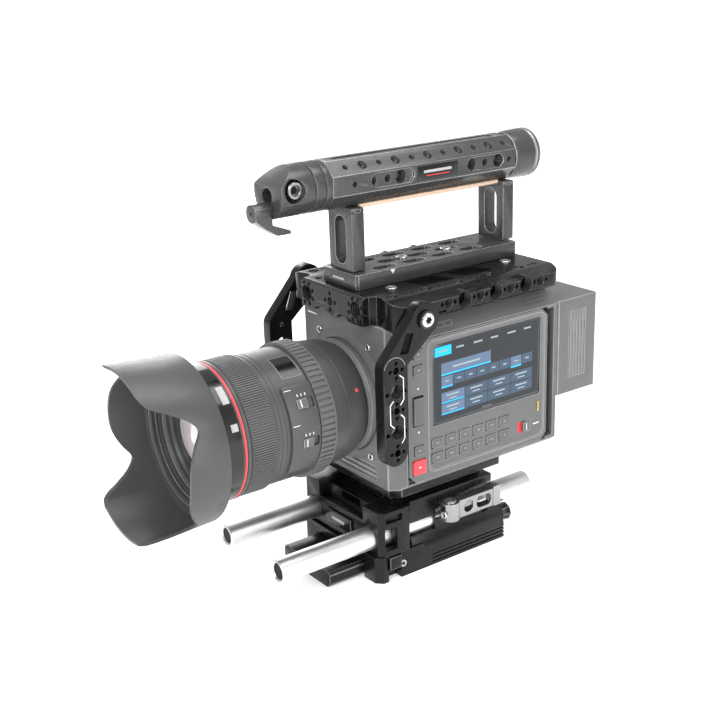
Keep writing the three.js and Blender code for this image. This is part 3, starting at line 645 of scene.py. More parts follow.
def make_panel():
    dressed("monitor_panel", 0.3, 3)
    dressed("monitor_screen", 0.2)
    for node in NODES:
        if node.startswith("key_row") or node.endswith("_button") or node in ("iris_rocker", "lock_slider"):
            dressed(node, 0.3, 3)
    make_key_marks()
    make_display()


def mark(name, body, boxes, material=WHITE_PAINT, slot="bright_steel"):
    """Thin paint marks: boxes on the +X face, each as (x, y0, y1, z0, z1)."""
    bm = bmesh.new()
    for x, y0, y1, z0, z1 in boxes:
        add_box(bm, (x - 0.1, y0, z0), (x + 0.05, y1, z1))
    return piece(name, bm, slot, body, material)


def make_key_marks():
    """A short bar or a dot on each key, in place of its legend."""
    for row in (1, 2):
        for column in range(1, 7):
            node = f"key_row{row}_{column}"
            low, high = limits(node)
            y, z = (low.y + high.y) / 2, (low.z + high.z) / 2
            half = 0.7 + 0.25 * ((column * 7 + row * 3) % 3)
            mark(f"{node}_mark", node, [(high.x, y - half, y + half, z - 0.3, z + 0.35)], GREY_PAINT)
    for node in ("display_button", "peaking_button", "still_button", "record_button"):
        low, high = limits(node)
        y, z = (low.y + high.y) / 2, (low.z + high.z) / 2
        paint = WHITE_PAINT if node == "record_button" else GREY_PAINT
        mark(f"{node}_mark", node, [(high.x, y - 0.9, y + 0.9, z - 0.35, z + 0.35)], paint)
    low, high = limits("lock_slider")
    middle = (low.y + high.y) / 2
    edge = (high.x, high.y - 1, high.y - 0.45, low.z + 0.8, high.z - 0.8)
    mark("lock_slider_edge", "lock_slider", [edge])
    face = limits("monitor_panel")[1].x
    area = (face - 1.2, middle - 5.3, middle - 1.6, low.z - 0.4, high.z + 0.4)
    mark("lock_red_area", "rig", [area], RED_PAINT, "record_red")
    mark("lock_bar", "rig", [(face, middle + 7.5, middle + 12.5, 79.1, 79.9)])
    frame_lines, arrows = bmesh.new(), bmesh.new()
    outline = rounded(-17.2, 79.6, 69.8, 154.7, 5)
    add_strip(frame_lines, outline + outline[:1], 0.35, "x", face - 0.1, face + 0.05)
    painted("panel_frame_line", frame_lines, GREY_PAINT)
    boxes = [(face, 73.7, 75.3, 87.6 + 2.3 * i, 89.4 + 2.3 * i) for i in range(3)]
    mark("panel_yellow_mark", "rig", boxes, YELLOW_PAINT, "screen")
    for z, up in ((127, 1), (98.7, -1)):
        triangle = [(-25.9, z - 0.6 * up), (-24.1, z - 0.6 * up), (-25, z + 0.8 * up)]
        add_prism(arrows, triangle, "x", face - 0.1, face + 0.05)
    painted("panel_arrows", arrows, WHITE_PAINT)


def make_display():
    """Generic tiles and bars on the lit screen; the places run from its top left corner, in millimetres."""
    low, high = limits("monitor_screen")
    width, height = high.y - low.y, high.z - low.z
    layers = {}

    def tile(material, a0, a1, b0, b1, lift=0.06):
        bm = layers.setdefault(material.name, (bmesh.new(), material))[0]
        add_box(bm, (high.x, low.y + a0, high.z - b1), (high.x + lift, low.y + a1, high.z - b0))

    tile(LCD_BACK, 1.2, width - 1.2, 1.2, height - 1.2, 0.03)
    tile(LCD_BLUE, 2, 15, 2, 8)
    tile(LCD_TEXT, 4.5, 12.5, 4.4, 5.6, 0.09)
    for i in range(5):
        start = 19 + 14 * i
        tile(LCD_TEXT, start, start + 6 + (i % 2), 4.4, 5.5, 0.09)
    tile(LCD_TILE_ON, 7, 47, 13, 20)
    tile(LCD_BLUE, 7, 47, 20, 20.9)
    tile(LCD_TEXT, 16, 38, 16, 17.2, 0.09)
    for i in range(8):
        start = 7 + 9.5 * i
        on = i in (0, 6)
        tile(LCD_TILE_ON if on else LCD_TILE, start, start + 9, 21.6, 28)
        tile(LCD_TEXT, start + 3, start + 6, 24.4, 25.3, 0.09)
        if on:
            tile(LCD_BLUE, start, start + 9, 28, 28.9)
    for row in range(2):
        for column in range(4):
            start, top = 7 + 19 * column, 32 + 7.4 * row
            lit_up = column == 0
            tile(LCD_TILE_ON if lit_up else LCD_TILE, start, start + 18.4, top, top + 6.8)
            tile(LCD_TEXT, start + 4, start + 14, top + 1.7, top + 2.7, 0.09)
            tile(LCD_TEXT, start + 6, start + 12, top + 4.2, top + 5, 0.09)
            if lit_up:
                tile(LCD_BLUE, start, start + 18.4, top + 6.2, top + 6.9, 0.08)
    for i in range(4):
        start = width / 2 - 4 + 2 * i
        tile(LCD_TEXT, start, start + 0.8, height - 2.6, height - 1.8, 0.09)
    for bm, material in layers.values():
        piece(material.name + "_layer", bm, "screen", "rig", material)


# ---- lens ----
# Each slide switch: its node, its angle above the horizontal, and the middle of its seat.
LENS_SWITCHES = (("focus_mode_switch", 25.5, -97), ("stabiliser_switch", -7, -96.4))


def about_lens(angle):
    """Turns a shape made at the lens's +X side up by an angle in degrees."""
    return Matrix.Translation(CENTER) @ Matrix.Rotation(-math.radians(angle), 4, "Y")


def lathe(name, profile, node, material=None, stands_for=(), slot=None, smooth_angle=32):
    """A smooth turned piece about the lens axis, from (radius, y) points."""
    bm = bmesh.new()
    add_turned(bm, profile, CENTER, REARWARD, 144, closed=profile[0][0] > 0)
    slot = slot or SLOT_OF[node]
    return piece(name, bm, slot, BODY_OF[node], material, 0.0, stands_for, smooth_angle=smooth_angle)


def toothed(name, node, depth, count, duty, band=0.0):
    """A grip ring: square teeth round its outside, with a plain band at its rear."""
    chamfer = 0.8
    low, high = limits(node)
    outer = (high.x - low.x) / 2
    inner = outer - 3.4
    front, rear = low.y, high.y
    teeth_end = rear - chamfer - band
    edge = outer - chamfer
    rows = [(inner, front, 0), (edge, front, 0), (outer, front + chamfer, 1), (outer, teeth_end, 1)]
    rows += [(outer, teeth_end, 0), (outer, rear - chamfer, 0)] if band else []
    rows += [(edge, rear, 0), (inner, rear, 0)]
    bm = bmesh.new()
    rings = []
    for radius, y, toothed_row in rows:
        ring = []
        for i in range(count):
            for part, drop in ((0, 0), (duty, 0), (duty + 0.06, depth), (0.94, depth)):
                angle = 2 * math.pi * (i + part) / count
                r = radius - (drop if toothed_row else 0)
                ring.append(bm.verts.new((r * math.cos(angle), y, LENS_Z + r * math.sin(angle))))
        rings.append(ring)
    total = len(rings[0])
    for first, second in zip(rings, rings[1:] + rings[:1]):
        for i in range(total):
            j = (i + 1) % total
            bm.faces.new((first[i], first[j], second[j], second[i]))
    return piece(name, bm, SLOT_OF[node], BODY_OF[node], stands_for=(node,), smooth_angle=25)


def make_lens():
    low, high = limits("lens_barrel")
    front, rear = low.y, high.y
    barrel = [
        (36, front), (37.6, front), (38, front + 0.4), (38, -117.9), (38.9, -117.7), (39.6, -117.7),
        (39.8, -117.5), (39.8, -115.2), (39.5, -115), (39.5, -114.6), (39.8, -114.4), (39.8, -112.2),
        (39.5, -112), (39.5, -111.6), (39.8, -111.4), (39.8, -89.5), (39.5, -89.2), (38, -89.2), (38, -77.4),
        (39.7, -77.4), (40, -77.1), (40, -76.2), (38.9, -68), (38.6, -67.8), (38.6, -67.2), (38.8, -67),
        (37.5, -57), (35.5, -53), (33, -50.5), (26.5, -50.3), (26.5, rear), (24, rear), (24, -92), (36, -92),
    ]
    seats = bmesh.new()
    for _, angle, y in LENS_SWITCHES:
        outline = [(b, a) for a, b in rounded(-3.2, 3.2, y - 5.8, y + 5.8, 1.2)]
        seat = bmesh.new()
        add_prism(seat, outline, "x", 40.1, 44)
        seat.transform(about_lens(angle))
        mesh = bpy.data.meshes.new("seat")
        seat.to_mesh(mesh)
        seat.free()
        seats.from_mesh(mesh)
    pad, skin, joined = bmesh.new(), bmesh.new(), bmesh.new()
    edge = arc_points(41.6, range(-36, 43, 2)) + arc_points(38.6, range(42, -37, -2))
    add_prism(pad, edge, "y", -109, -89.6)
    add_turned(skin, barrel, CENTER, REARWARD, 144, closed=True)
    tube = object_of("lens_barrel_skin", skin)
    raised = object_of("pad", pad)
    beveled(raised, 0.5, 3)
    raised.data.transform(Matrix.Scale(1 / MM, 4))
    joined.from_mesh(raised.data)
    bpy.data.objects.remove(raised)
    carved(tube, joined, "UNION")
    carved(tube, seats)
    finished(tube, SLOT_OF["lens_barrel"], BODY_OF["lens_barrel"], None, ("lens_barrel",), 25)
    toothed("zoom_ring_skin", "zoom_ring", 0.75, 172, 0.5)
    toothed("focus_ring_skin", "focus_ring", 0.8, 72, 0.6, band=1.2)
    for node, _, _ in LENS_SWITCHES:
        dressed(node, 0.35)
    make_lens_marks()
    make_front_barrel()
    make_hood()


def make_lens_marks():
    """Index lines on the two sliders and beside them, the distance window, and the mounting dot."""
    body = BODY_OF["lens_barrel"]
    lines, window, edge, dot = bmesh.new(), bmesh.new(), bmesh.new(), bmesh.new()
    for node, angle, y in LENS_SWITCHES:
        turn = about_lens(angle)
        index = bmesh.new()
        add_box(index, (42, y - 3.3, -2.1), (42.24, y - 2.7, 2.1), turn)
        painted(f"{node}_line", index, WHITE_PAINT, BODY_OF[node])
        for start in (y - 4, y - 1.4, y + 1.2):
            add_box(lines, (41.3, start, 4.4), (41.42, start + 0.5, 5.9), turn)
    for angle in (9, 38):
        add_arc_patch(lines, 41.6, 0.06, -108, -103.5, angle, angle + 0.5, 2)
    painted("lens_index_lines", lines, WHITE_PAINT, body)
    barrel = 39.8
    add_arc_patch(window, barrel, 0.25, -104, -91.5, 50, 74)
    piece("distance_window", window, "screen", body, GLOSS_BLACK)
    # A lighter frame round the window: painted highlight on its edge.
    for start, end in ((49.4, 50), (74, 74.6)):
        add_arc_patch(edge, barrel, 0.35, -104.4, -91.1, start, end, 2)
    for y in (-104.5, -91.5):
        add_arc_patch(edge, barrel, 0.35, y, y + 0.5, 49.4, 74.6)
    piece("distance_window_edge", edge, "lens_grey", body, EDGE_HIGHLIGHTS["lens_grey"])
    angle = math.radians(24)
    out = Vector((math.cos(angle), 0, math.sin(angle)))
    bead = [(0, -1), (1.3, -1), (1.2, 0.4), (0.8, 0.75), (0, 0.9)]
    add_turned(dot, bead, Vector((0, -58.6, LENS_Z)) + out * 37.6, out, 20)
    piece("mounting_dot", dot, "record_red", body)


def make_front_barrel():
    node = "front_barrel"
    low, high = limits(node)
    rim = low.y
    outer = (high.x - low.x) / 2
    proud = outer + 0.05
    rear = -136
    barrel = [
        (33, high.y), (35.6, high.y), (35.6, rear), (41.1, rear), (outer, rear - 0.4), (outer, -138.3),
        (41.1, -138.4), (41.1, -140.6), (outer, -140.7), (outer, -144.8), (41, -145), (41, -145.6),
        (outer, -145.8), (outer, rim + 0.5), (41, rim), (38.9, rim), (38.5, rim + 0.4), (38.5, rim + 3),
        (38, rim + 3.2), (38, rim + 4.6), (36.2, rim + 4.8), (36, rim + 6.5), (34.6, rim + 8),
        (34.2, rim + 10), (33.2, rim + 11.4), (33, rim + 12),
    ]
    lathe("front_barrel_skin", barrel, node, stands_for=(node,), smooth_angle=20)
    red = [(40.6, -140.3), (outer - 0.02, -140.3), (outer - 0.02, -139), (40.6, -139)]
    lathe("red_ring", red, node, SLOTS["record_red"], slot="record_red")
    lathe("front_band", [(40.9, -152.9), (proud, -152.9), (proud, -141.4), (40.9, -141.4)], node, GLOSS_BLACK)
    patches, glass_body, shade = bmesh.new(), bmesh.new(), bmesh.new()
    for start, end in ((41, 57), (18.5, 24.5)):
        add_arc_patch(patches, proud, 0.05, -146.6, -142.4, start, end)
    painted("front_band_patches", patches, PALE_PATCH, BODY_OF[node])
    # Thin pale rings on the rim edges: painted highlights.
    for name, radius, y in (("outer", 40.9, rim), ("middle", 38.3, rim + 3.05), ("inner", 36.1, rim + 6.3)):
        inside, outside = radius - 0.16, radius + 0.16
        highlight_band = [(inside, y - 0.03), (outside, y - 0.03), (outside, y + 0.3), (inside, y + 0.3)]
        lathe(f"thin_ring_{name}", highlight_band, node, PALE_PATCH)
    edge, seat, bulge = 32.7, -145, 6.2
    sphere = (edge**2 + bulge**2) / (2 * bulge)

    def dome_y(radius):
        """Where the front of the glass stands, at a distance from the axis."""
        return seat - (math.sqrt(sphere**2 - radius**2) - (sphere - bulge))

    radii = [edge * (1 - i / 12) for i in range(1, 13)]
    dome = [(0, seat + 6), (edge, seat + 6), (edge, seat)] + [(r, dome_y(r)) for r in radii]
    add_turned(glass_body, dome, CENTER, REARWARD, 96)
    body = BODY_OF["front_element"]
    piece("front_glass", glass_body, "optic", body, stands_for=("front_element",), smooth_angle=60)
    # A ring of dark glass over the outer part of the front element: painted shade.
    clear, shade_edge, lift = 17.5, 32.6, 0.04
    radii = [clear + (shade_edge - clear) * i / 6 for i in range(7)]
    ring = [(r, dome_y(r) - lift) for r in radii] + [(r, dome_y(r) - lift + 0.3) for r in reversed(radii)]
    add_turned(shade, ring, CENTER, REARWARD, 96, closed=True)
    piece("front_glass_shade", shade, "optic", body, PAINTED_GLASS_SHADE, smooth_angle=60)


def make_hood():
    """Two long petals and two short ones, cut out of one turned shell."""
    node = "lens_hood"
    rear, tip = limits(node)[1].y, -196.5
    shell = [
        (41.8, rear), (48.2, rear), (49.5, rear - 0.6), (49.9, rear - 1.6), (52, tip), (50.2, tip),
        (48.1, rear - 3.6), (47.4, rear - 3.2), (41.8, rear - 3),
    ]
    bm, cutter = bmesh.new(), bmesh.new()
    add_turned(bm, shell, (0, 0, 0), REARWARD, 180, closed=True)
    obj = object_of("lens_hood_skin", bm)
    edge = [
        (tip + 0.4, 47), (tip + 2, 44.7), (tip + 6, 42.6), (tip + 12.2, 40.4), (tip + 23, 35),
        (tip + 26.8, 30.3), (tip + 22, 23.2), (tip + 18, 14), (tip + 16.8, 0),
    ]
    points = through(edge + [(y, -z) for y, z in reversed(edge[:-1])], 5)
    reach = 70
    outline = [(tip + 0.2, reach), *points, (tip + 0.2, -reach), (tip - 20, -reach), (tip - 20, reach)]
    add_prism(cutter, outline, "x", -reach, reach)
    # The rounded petal edges take the lighter edge finish: painted highlights.
    edge_slot = coated(obj, (SLOTS["lens_grey"], EDGE_HIGHLIGHTS["lens_grey"]))
    carved(obj, cutter)
    beveled(obj, 0.45, 2, 40, edge_slot)
    set_turn = 11
    obj.data.transform(Matrix.Rotation(math.radians(set_turn), 4, "Y"))
    obj.data.transform(Matrix.Translation(Vector(CENTER) * MM))
    finished(obj, SLOT_OF[node], BODY_OF[node], None, (node,), 30)


def through(points, steps):
    """A smooth centripetal curve through the points."""
    line = [Vector(p) for p in (points[0], *points, points[-1])]
    line[0] = line[1] * 2 - line[2]
    line[-1] = line[-2] * 2 - line[-3]
    out = []
    for p0, p1, p2, p3 in zip(line, line[1:], line[2:], line[3:]):
        knots = [0.0]
        for a, b in ((p0, p1), (p1, p2), (p2, p3)):
            knots.append(knots[-1] + max((b - a).length, 1e-6) ** 0.5)
        t0, t1, t2, t3 = knots
        for i in range(steps):
            t = t1 + (t2 - t1) * i / steps
            a1 = p0 * ((t1 - t) / (t1 - t0)) + p1 * ((t - t0) / (t1 - t0))
            a2 = p1 * ((t2 - t) / (t2 - t1)) + p2 * ((t - t1) / (t2 - t1))
            a3 = p2 * ((t3 - t) / (t3 - t2)) + p3 * ((t - t2) / (t3 - t2))
            b1 = a1 * ((t2 - t) / (t2 - t0)) + a2 * ((t - t0) / (t2 - t0))
            b2 = a2 * ((t3 - t) / (t3 - t1)) + a3 * ((t - t1) / (t3 - t1))
            out.append(tuple(b1 * ((t2 - t) / (t2 - t1)) + b2 * ((t - t1) / (t2 - t1))))
    return [*out, tuple(points[-1])]


# ---- cage ----
def make_cage():
    low, high = limits("cage_top_plate")
    side, top, front = high.x, high.z, low.y
    side_z, front_z = 177.3, 175.5
    big, medium, pin = 4.6, 2.5, 1.15
    bosses = bmesh.new()
    sets = holes, threads, rims = bmesh.new(), bmesh.new(), bmesh.new()
    for sign in (1, -1):
        out = (sign, 0, 0)
        for y in (7.4, 32.2, 57):
            place = (sign * side, y, side_z)
            add_rod(bosses, place, out, big + 1, -6, 0, 32)
            add_hole(sets, place, out, big, 7, 0.5, (0.5, 0.35))
        for y in (-5, 19.8, 44.6, 69.4):
            add_hole(sets, (sign * side, y, side_z), out, medium, 6, 0.35, (0.35, 0.2))
            for offset in (-4.9, 4.9):
                add_hole(sets, (sign * side, y + offset, side_z), out, pin, 4, 0.2)
        for i in range(5):
            y = -35.5 + 25.2 * i
            add_hole(sets, (sign * 41, y, top), UP, 2.7, 5, 0.5, (0.4, 0.25))
            for offset, radius in ((8.2, 1.3), (12.6, 1.8), (17, 1.3)):
                if y + offset < 78:
                    add_hole(sets, (sign * 41, y + offset, top), UP, radius, 4, 0.3)
        for start, end in ((-10, 18), (22, 50)):
            outline = [(20, start), (34, start + 4), (34, end), (20, end - 6)]
            add_prism(holes, [(sign * x, y) for x, y in outline], "z", top - 2.5, top + 1)
    for x in (-26, 25):
        add_hole(sets, (x, front, front_z), FORWARD, big, 8, 0.5, (0.5, 0.35))
        for i in range(8):
            angle = math.radians(22.5 + 45 * i)
            spot = (x + 6.9 * math.cos(angle), front, front_z + 6.7 * math.sin(angle))
            add_hole(sets, spot, FORWARD, pin, 4, 0.2)
    place = (-1, front, front_z)
    drill(holes, place, FORWARD, 2.2, 6, 0.35)
    add_thread(threads, place, FORWARD, 2.2, 6)
    for dx, dz in ((-5, 0), (5, 0), (0, 5), (0, -5)):
        add_hole(sets, (-1 + dx, front, front_z + dz), FORWARD, pin, 4, 0.2)
    for x in (-24, -12):
        add_hole(sets, (x, front + 8, top), UP, 1.8, 4, 0.3)
    dressed("cage_top_plate", 0.7, 3, added=bosses, cutters=holes)
    painted("cage_threads", threads, THREAD)
    # Pale rings at the hole mouths: painted highlights.
    painted("cage_rim_highlights", rims, HIGHLIGHT_AND_STEEL)
    rows = [((x, y, top), UP, 3.6, 0.8, 1.9) for x, y in ((25, -24), (24, 69))]
    screws("cage_screws", "cage_screw_sockets", "rig", rows)


def star(radius, inner):
    """A six-lobed outline for a screw's socket."""
    points, steps = 6, 4
    count = points * steps
    turns = [2 * math.pi * i / count for i in range(count)]
    sizes = [inner + (radius - inner) * (0.5 + 0.5 * math.cos(points * t)) for t in turns]
    return [(r * math.cos(t), r * math.sin(t)) for t, r in zip(turns, sizes)]


def make_brackets():
    y = -51.3  # the middle of the grip
    runs = (
        [(2.1, 144.9), (4.9, 142.6), (4.9, 129.6), (2.4, 126.4)],
        [(-2.6, 130.2), (-5, 127.6), (-5, 116), (-2.4, 113.3)],
        [(2.6, 120.6), (5.1, 118), (5.1, 105.6), (3, 102.6)],
    )
    for sign, label in SIDES:
        node = f"cage_bracket_{label}"
        low, high = limits(node)
        outer = high.x if sign > 0 else low.x
        out = (sign, 0, 0)
        holes, threads, rims, lines, arc = (bmesh.new() for _ in range(5))
        for z in (147.9, 123.3, 96.9):
            drill(holes, (outer, y, z), out, 2, 9)
            add_rim_highlight(rims, (outer, y, z), out, 2.3, 0.15)
            for dy, dz in ((-4.3, 0), (4.3, 0), (0, 4.4), (0, -4.4)):
                drill(holes, (outer, y + dy, z + dz), out, 1.15, 4, 0.2, 14)
        for z in (135.3, 110.3):
            add_thread(threads, (outer, y, z), out, 4.45, 7.5)
            add_rim_highlight(rims, (outer, y, z), out, 4.55, 0.35)
            for start, end in ((-8.4, -5.6), (5.4, 7)):
                notch = rounded(y + start, y + end, z - 1.8, z + 0.4, 0.8)
                add_prism(holes, notch, "x", *sorted((outer - sign * 3, outer + sign)))
        dressed(node, 0.9, 4, cutters=holes)
        painted(f"bracket_threads_{label}", threads, THREAD)
        # Pale rings at the hole mouths: painted highlights.
        painted(f"bracket_hole_rims_{label}", rims, HIGHLIGHT_AND_STEEL)
        skin = sorted((outer - sign * 0.2, outer + sign * 0.04))
        for run in runs:
            add_strip(lines, [(y + dy, z) for dy, z in run], 0.6, "x", *skin)
        painted(f"bracket_lines_{label}", lines, WHITE_PAINT)
        # A pale arc at the top of the upright: painted highlight.
        turns = [math.radians(angle) for angle in range(12, 169, 12)]
        bend = [(y - 1.2 + 7.7 * math.cos(t), 148.4 + 7.7 * math.sin(t)) for t in turns]
        add_strip(arc, bend, 0.35, "x", *skin)
        painted(f"bracket_arc_{label}", arc, HIGHLIGHT_AND_STEEL)
        make_bracket_bolt(f"bracket_bolt_{label}", sign)


def make_bracket_bolt(node, sign):
    """A bright socket head that stands in a dark collar."""
    low, high = limits(node)
    center = (low + high) / 2
    base = low.x if sign > 0 else high.x
    out = (sign, 0, 0)
    radius = (high.y - low.y) / 2
    height = high.x - low.x
    bright = radius - 1.3
    inner, rim = bright + 0.1, height - 0.7
    tip = base + sign * height
    foot = (base, center.y, center.z)
    head, socket, collar, floor = bmesh.new(), bmesh.new(), bmesh.new(), bmesh.new()
    profile = [(0, 0), (bright, 0), (bright, height - 0.6), (bright - 0.6, height), (0, height)]
    add_turned(head, profile, foot, out, 64)
    lobes = [(center.y + a, center.z + b) for a, b in star(2.5, 1.7)]
    add_prism(socket, lobes, "x", *sorted((tip - sign * 1.6, tip + sign)))
    piece(f"{node}_head", head, "bright_steel", "rig", STEEL_RING, stands_for=(node,), cutters=socket)
    profile = [(inner, 0), (radius, 0), (radius, height - 1.2), (radius - 0.5, rim), (inner, rim)]
    add_turned(collar, profile, foot, out, 64, closed=True)
    painted(f"{node}_collar", collar, GLOSS_BLACK)
    # A near-black disc at the bottom of the socket: painted shade.
    add_rod(floor, (tip, center.y, center.z), out, 2.6, -1.7, -1.5)
    painted(f"{node}_socket", floor, HOLE_SHADE)


# ---- top handle ----
def make_handle():
    make_handle_base()
    make_handle_tube()
    dressed("grip_strip", 0.3)
    make_handle_nose()
    dressed("handle_end_cap", 0.5, 3)
    dressed("nose_lever", 0.7, 3)
    face = limits("nose_lever")[0].y
    # A near-black disc on the lever's face where its bore is: painted shade.
    bore = bmesh.new()
    add_rod(bore, (-1, face + 0.1, 236.5), FORWARD, 1.2, 0.15, 0.21, 6)
    painted("nose_lever_bore", bore, HOLE_SHADE, "nose_lever")


def make_handle_base():
    dressed("handle_base", 0.5, 2)
    low, high = limits("handle_base")
    top, front = high.z, low.y
    rows = [((x, y, top), UP, 3.6, 0.9, 1.8) for x, y in ((0, 4), (2, 38))]
    screws("handle_base_screws", "handle_base_screw_sockets", "rig", rows)
    pockets, marks = bmesh.new(), bmesh.new()
    for row, count, first in ((-1, 4, -27), (0, 3, -15.5), (1, 4, -27)):
        for i in range(count):
            start = first + i * 23
            outline = rounded(row * 10.6 - 3.4, row * 10.6 + 3.4, start + 0.3, start + 17.7, 3.3)
            add_prism(pockets, outline, "z", top - 2.9, top - 2.6)
    # Gloss black sheets just above the pocket floors: painted shade in the pockets.
    painted("handle_base_pocket_shade", pockets, GLOSS_BLACK)
    outline = rounded(-10, 8, 187, 190.8, 0.4)
    plate("handle_base_patch", outline, "y", front - 0.05, front + 0.2, "anodised_black", GLOSS_BLACK)
    outline = rounded(-7, 5, 188.3, 189.6, 0.6)
    plate("handle_base_stripe", outline, "y", front - 0.1, front + 0.2, "bright_steel", PALE_PATCH)
    for sign in (1, -1):
        add_prism(marks, [(-19, 193), (-15, 193), (-17, 190.3)], "x", *between(sign, 17.8, 18.04))
    painted("handle_base_marks", marks, WHITE_PAINT)
    for node in ("handle_post_front", "handle_post_rear"):
        make_post(node)


def make_post(node):
    """A post with a seam near its top, and painted highlights along the seam's notch and the edge of its
    slot.
    """
    low, high = limits(node)
    middle = (low.y + high.y) / 2
    cuts, lines = bmesh.new(), bmesh.new()
    notch = [(middle - 2.6, 231), (middle - 1.6, 229.6), (middle + 1.6, 229.6), (middle + 2.6, 231)]
    for sign in (1, -1):
        add_box(cuts, (sign * 12 - 0.5, low.y - 1, 229.2), (sign * 12 + 0.5, high.y + 1, 230))
        add_strip(lines, notch, 0.3, "x", *between(sign, 11.8, 12.05))
    dressed(node, 0.8, 3, cutters=cuts)
    outline = rounded(-5.9, 5.9, 197.4, 227.3, 5.7)
    for y, sign in ((low.y, -1), (high.y, 1)):
        skin = sorted((y - sign * 0.2, y + sign * 0.04))
        add_strip(lines, outline + outline[:1], 0.3, "y", *skin)
    # The lines are painted highlights.
    piece(f"{node}_lines", lines, "handle_grey", "rig", HIGHLIGHT_AND_STEEL)


def make_handle_tube():
    sets = holes, threads, rims = bmesh.new(), bmesh.new(), bmesh.new()
    flat, seat, axis_z, groove = 14.2, 12.6, 247, 259.6
    pitch = 12.3
    for sign in (1, -1):
        out = (sign, 0, 0)
        for y, radius in ((-27.5, 3.7), (-15, 2), (-5.2, 3.7), (50.5, 3.7), (62, 2), (72.8, 3.7)):
            add_hole(sets, (sign * seat, y, axis_z), out, radius, 6, 0.3, (0.3, 0.3))
        for y in (-40, 81):
            drill(holes, (sign * flat, y, axis_z), out, 1.6, 4, 0.2)
        slope = (sign * 0.7071, 0, 0.7071)
        for i in range(11):
            place = (sign * flat * 0.7071, -44 + pitch * i, axis_z + flat * 0.7071)
            drill(holes, place, slope, 2.7 if i % 2 else 1.5, 4, 0.3)
            if i % 2:
                add_rim_highlight(rims, place, slope, 3, 0.25)
    for i in range(10):
        add_hole(sets, (0, -40 + pitch * i, groove), UP, 2.6, 5, 0.3, (0.3, 0.3))
    dressed("handle_tube", 0.6, 3, cutters=holes)
    painted("handle_threads", threads, THREAD)
    # Pale rings at the larger slope holes: painted highlights.
    piece("handle_rim_highlights", rims, "handle_grey", "rig", HIGHLIGHT_AND_STEEL)
    for sign, label in SIDES:
        outline = rounded(6, 38, 242.6, 251.4, 0.8)
        span = between(sign, 14.1, 14.45)
        plate(f"handle_plate_{label}", outline, "x", *span, "anodised_black", GLOSS_BLACK, 0.1)
        span = between(sign, 14.3, 14.52)
        outline = rounded(11, 33, 247, 248.6, 0.6)
        plate(f"handle_plate_patch_{label}", outline, "x", *span, "bright_steel", PALE_PATCH)
        line = bmesh.new()
        add_box(line, (span[0], 13, 245), (span[1], 31, 245.5))
        painted(f"handle_plate_line_{label}", line, RED_PAINT)


def make_handle_nose():
    dressed("handle_nose", 0.6, 3)
    bore_highlight, seat_shade = bmesh.new(), bmesh.new()
    face = limits("handle_nose")[0].y
    # Near-black discs in the side seats: painted shade.
    for sign in (1, -1):
        add_rod(seat_shade, (sign * 7.4, -82, 248.5), (sign, 0, 0), 6.7, 0, 0.3, 40)
    # A bright sleeve inside the nose's front bore: painted highlight.
    bore = [(5.35, 0.4), (5.35, 12), (5.0, 12), (5.0, 0.4)]
    add_turned(bore_highlight, bore, (-1.5, face, 245), REARWARD, 40, closed=True)
    piece("nose_bore_highlight", bore_highlight, "bright_steel", "rig", HIGHLIGHT_AND_STEEL)
    painted("nose_seat_shade", seat_shade, HOLE_SHADE)
    node = "nose_clamp_bolt"
    low, high = limits(node)
    center = (low + high) / 2
    row = ((low.x, center.y, center.z), (1, 0, 0), (high.y - low.y) / 2, high.x - low.x, 2.6)
    screws(f"{node}_head", f"{node}_socket", BODY_OF[node], [row], 40, HIGHLIGHT_AND_STEEL, (node,))


# ---- floor, light and camera ----
def make_stage():
    bm = bmesh.new()
    add_box(bm, (-60000, -60000, -1), (60000, 60000, 0))
    floor = object_of("floor", bm)
    floor.location.z = limits("base_body")[0].z * MM - 0.0002
    material, tree, bsdf = shader("floor_white")
    tone = mixed(tree, noise(tree, 2, 2), (0.86, 0.86, 0.86), (0.88, 0.88, 0.88))
    tree.links.new(tone, bsdf.inputs["Base Color"])
    tree.links.new(tone, bsdf.inputs["Emission Color"])
    bsdf.inputs["Emission Strength"].default_value = 0.55
    bsdf.inputs["Roughness"].default_value = 0.9
    floor.data.materials.append(material)


def area_light(name, place, target, size, power):
    data = bpy.data.lights.new(name, "AREA")
    data.shape = "RECTANGLE"
    data.size, data.size_y = size
    data.energy = power
    light = bpy.data.objects.new(name, data)
    light.location = place
    light.rotation_euler = (Vector(target) - Vector(place)).to_track_quat("-Z", "Y").to_euler()
    bpy.context.scene.collection.objects.link(light)


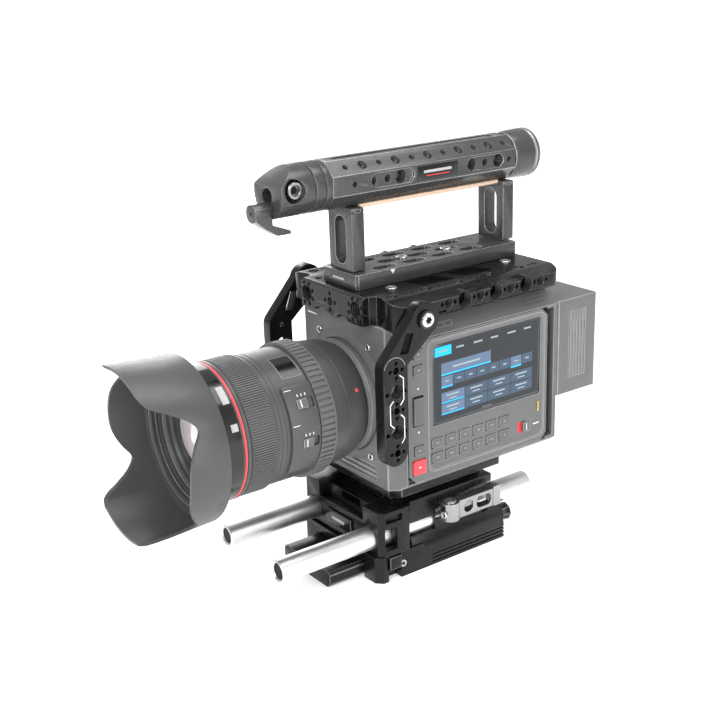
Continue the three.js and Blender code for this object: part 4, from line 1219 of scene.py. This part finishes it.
def make_lights():
    world = bpy.data.worlds.new("studio")
    world.use_nodes = True
    tree = world.node_tree
    place = tree.nodes.new("ShaderNodeTexCoord")
    split = tree.nodes.new("ShaderNodeSeparateXYZ")
    tree.links.new(place.outputs["Generated"], split.inputs["Vector"])
    height = spread(tree, split.outputs["Z"], 0, 1, 0.0, 0.85)
    tone = mixed(tree, height, (0.62, 0.62, 0.62), (0.9, 0.9, 0.9))
    tree.links.new(tone, tree.nodes["Background"].inputs["Color"])
    tree.nodes["Background"].inputs["Strength"].default_value = 0.85
    pale = tree.nodes.new("ShaderNodeBackground")
    pale.inputs["Strength"].default_value = 1.05
    choice = tree.nodes.new("ShaderNodeMixShader")
    tree.links.new(tree.nodes.new("ShaderNodeLightPath").outputs["Is Camera Ray"], choice.inputs[0])
    tree.links.new(tree.nodes["Background"].outputs[0], choice.inputs[1])
    tree.links.new(pale.outputs[0], choice.inputs[2])
    tree.links.new(choice.outputs[0], tree.nodes["World Output"].inputs["Surface"])
    bpy.context.scene.world = world
    heart = (0, 0, 0.12)
    area_light("key", (0.55, -0.95, 0.85), heart, (0.5, 0.8), 9)
    area_light("side", (1.3, 0.25, 0.35), heart, (0.35, 1.3), 7)
    area_light("top", (0.1, 0.15, 1.3), heart, (0.6, 1.1), 9)
    area_light("back", (-1.1, 0.3, 0.5), heart, (0.5, 0.9), 6)


def make_camera():
    data = bpy.data.cameras.new("camera")
    data.lens = 59.956
    data.sensor_width = 36
    data.clip_start = 0.01
    camera = bpy.data.objects.new("camera", data)
    turn, tilt, roll = (math.radians(a) for a in (54.42, 18.86, -1.94))
    forward = Vector((-math.sin(turn) * math.cos(tilt), math.cos(turn) * math.cos(tilt), -math.sin(tilt)))
    level = Vector((math.cos(turn), math.sin(turn), 0))
    upright = level.cross(forward)
    right = level * math.cos(roll) + upright * math.sin(roll)
    up = upright * math.cos(roll) - level * math.sin(roll)
    facing = Matrix((right, up, -forward)).transposed().to_4x4()
    camera.matrix_world = Matrix.Translation((0.5766, -0.44327, 0.3757)) @ facing
    bpy.context.scene.collection.objects.link(camera)
    bpy.context.scene.camera = camera


bpy.context.scene.view_settings.view_transform = "Standard"
make_base()
make_rods()
make_lever()
make_camera_body()
make_panel()
make_lens()
make_cage()
make_brackets()
make_handle()
make_stage()
make_lights()
make_camera()
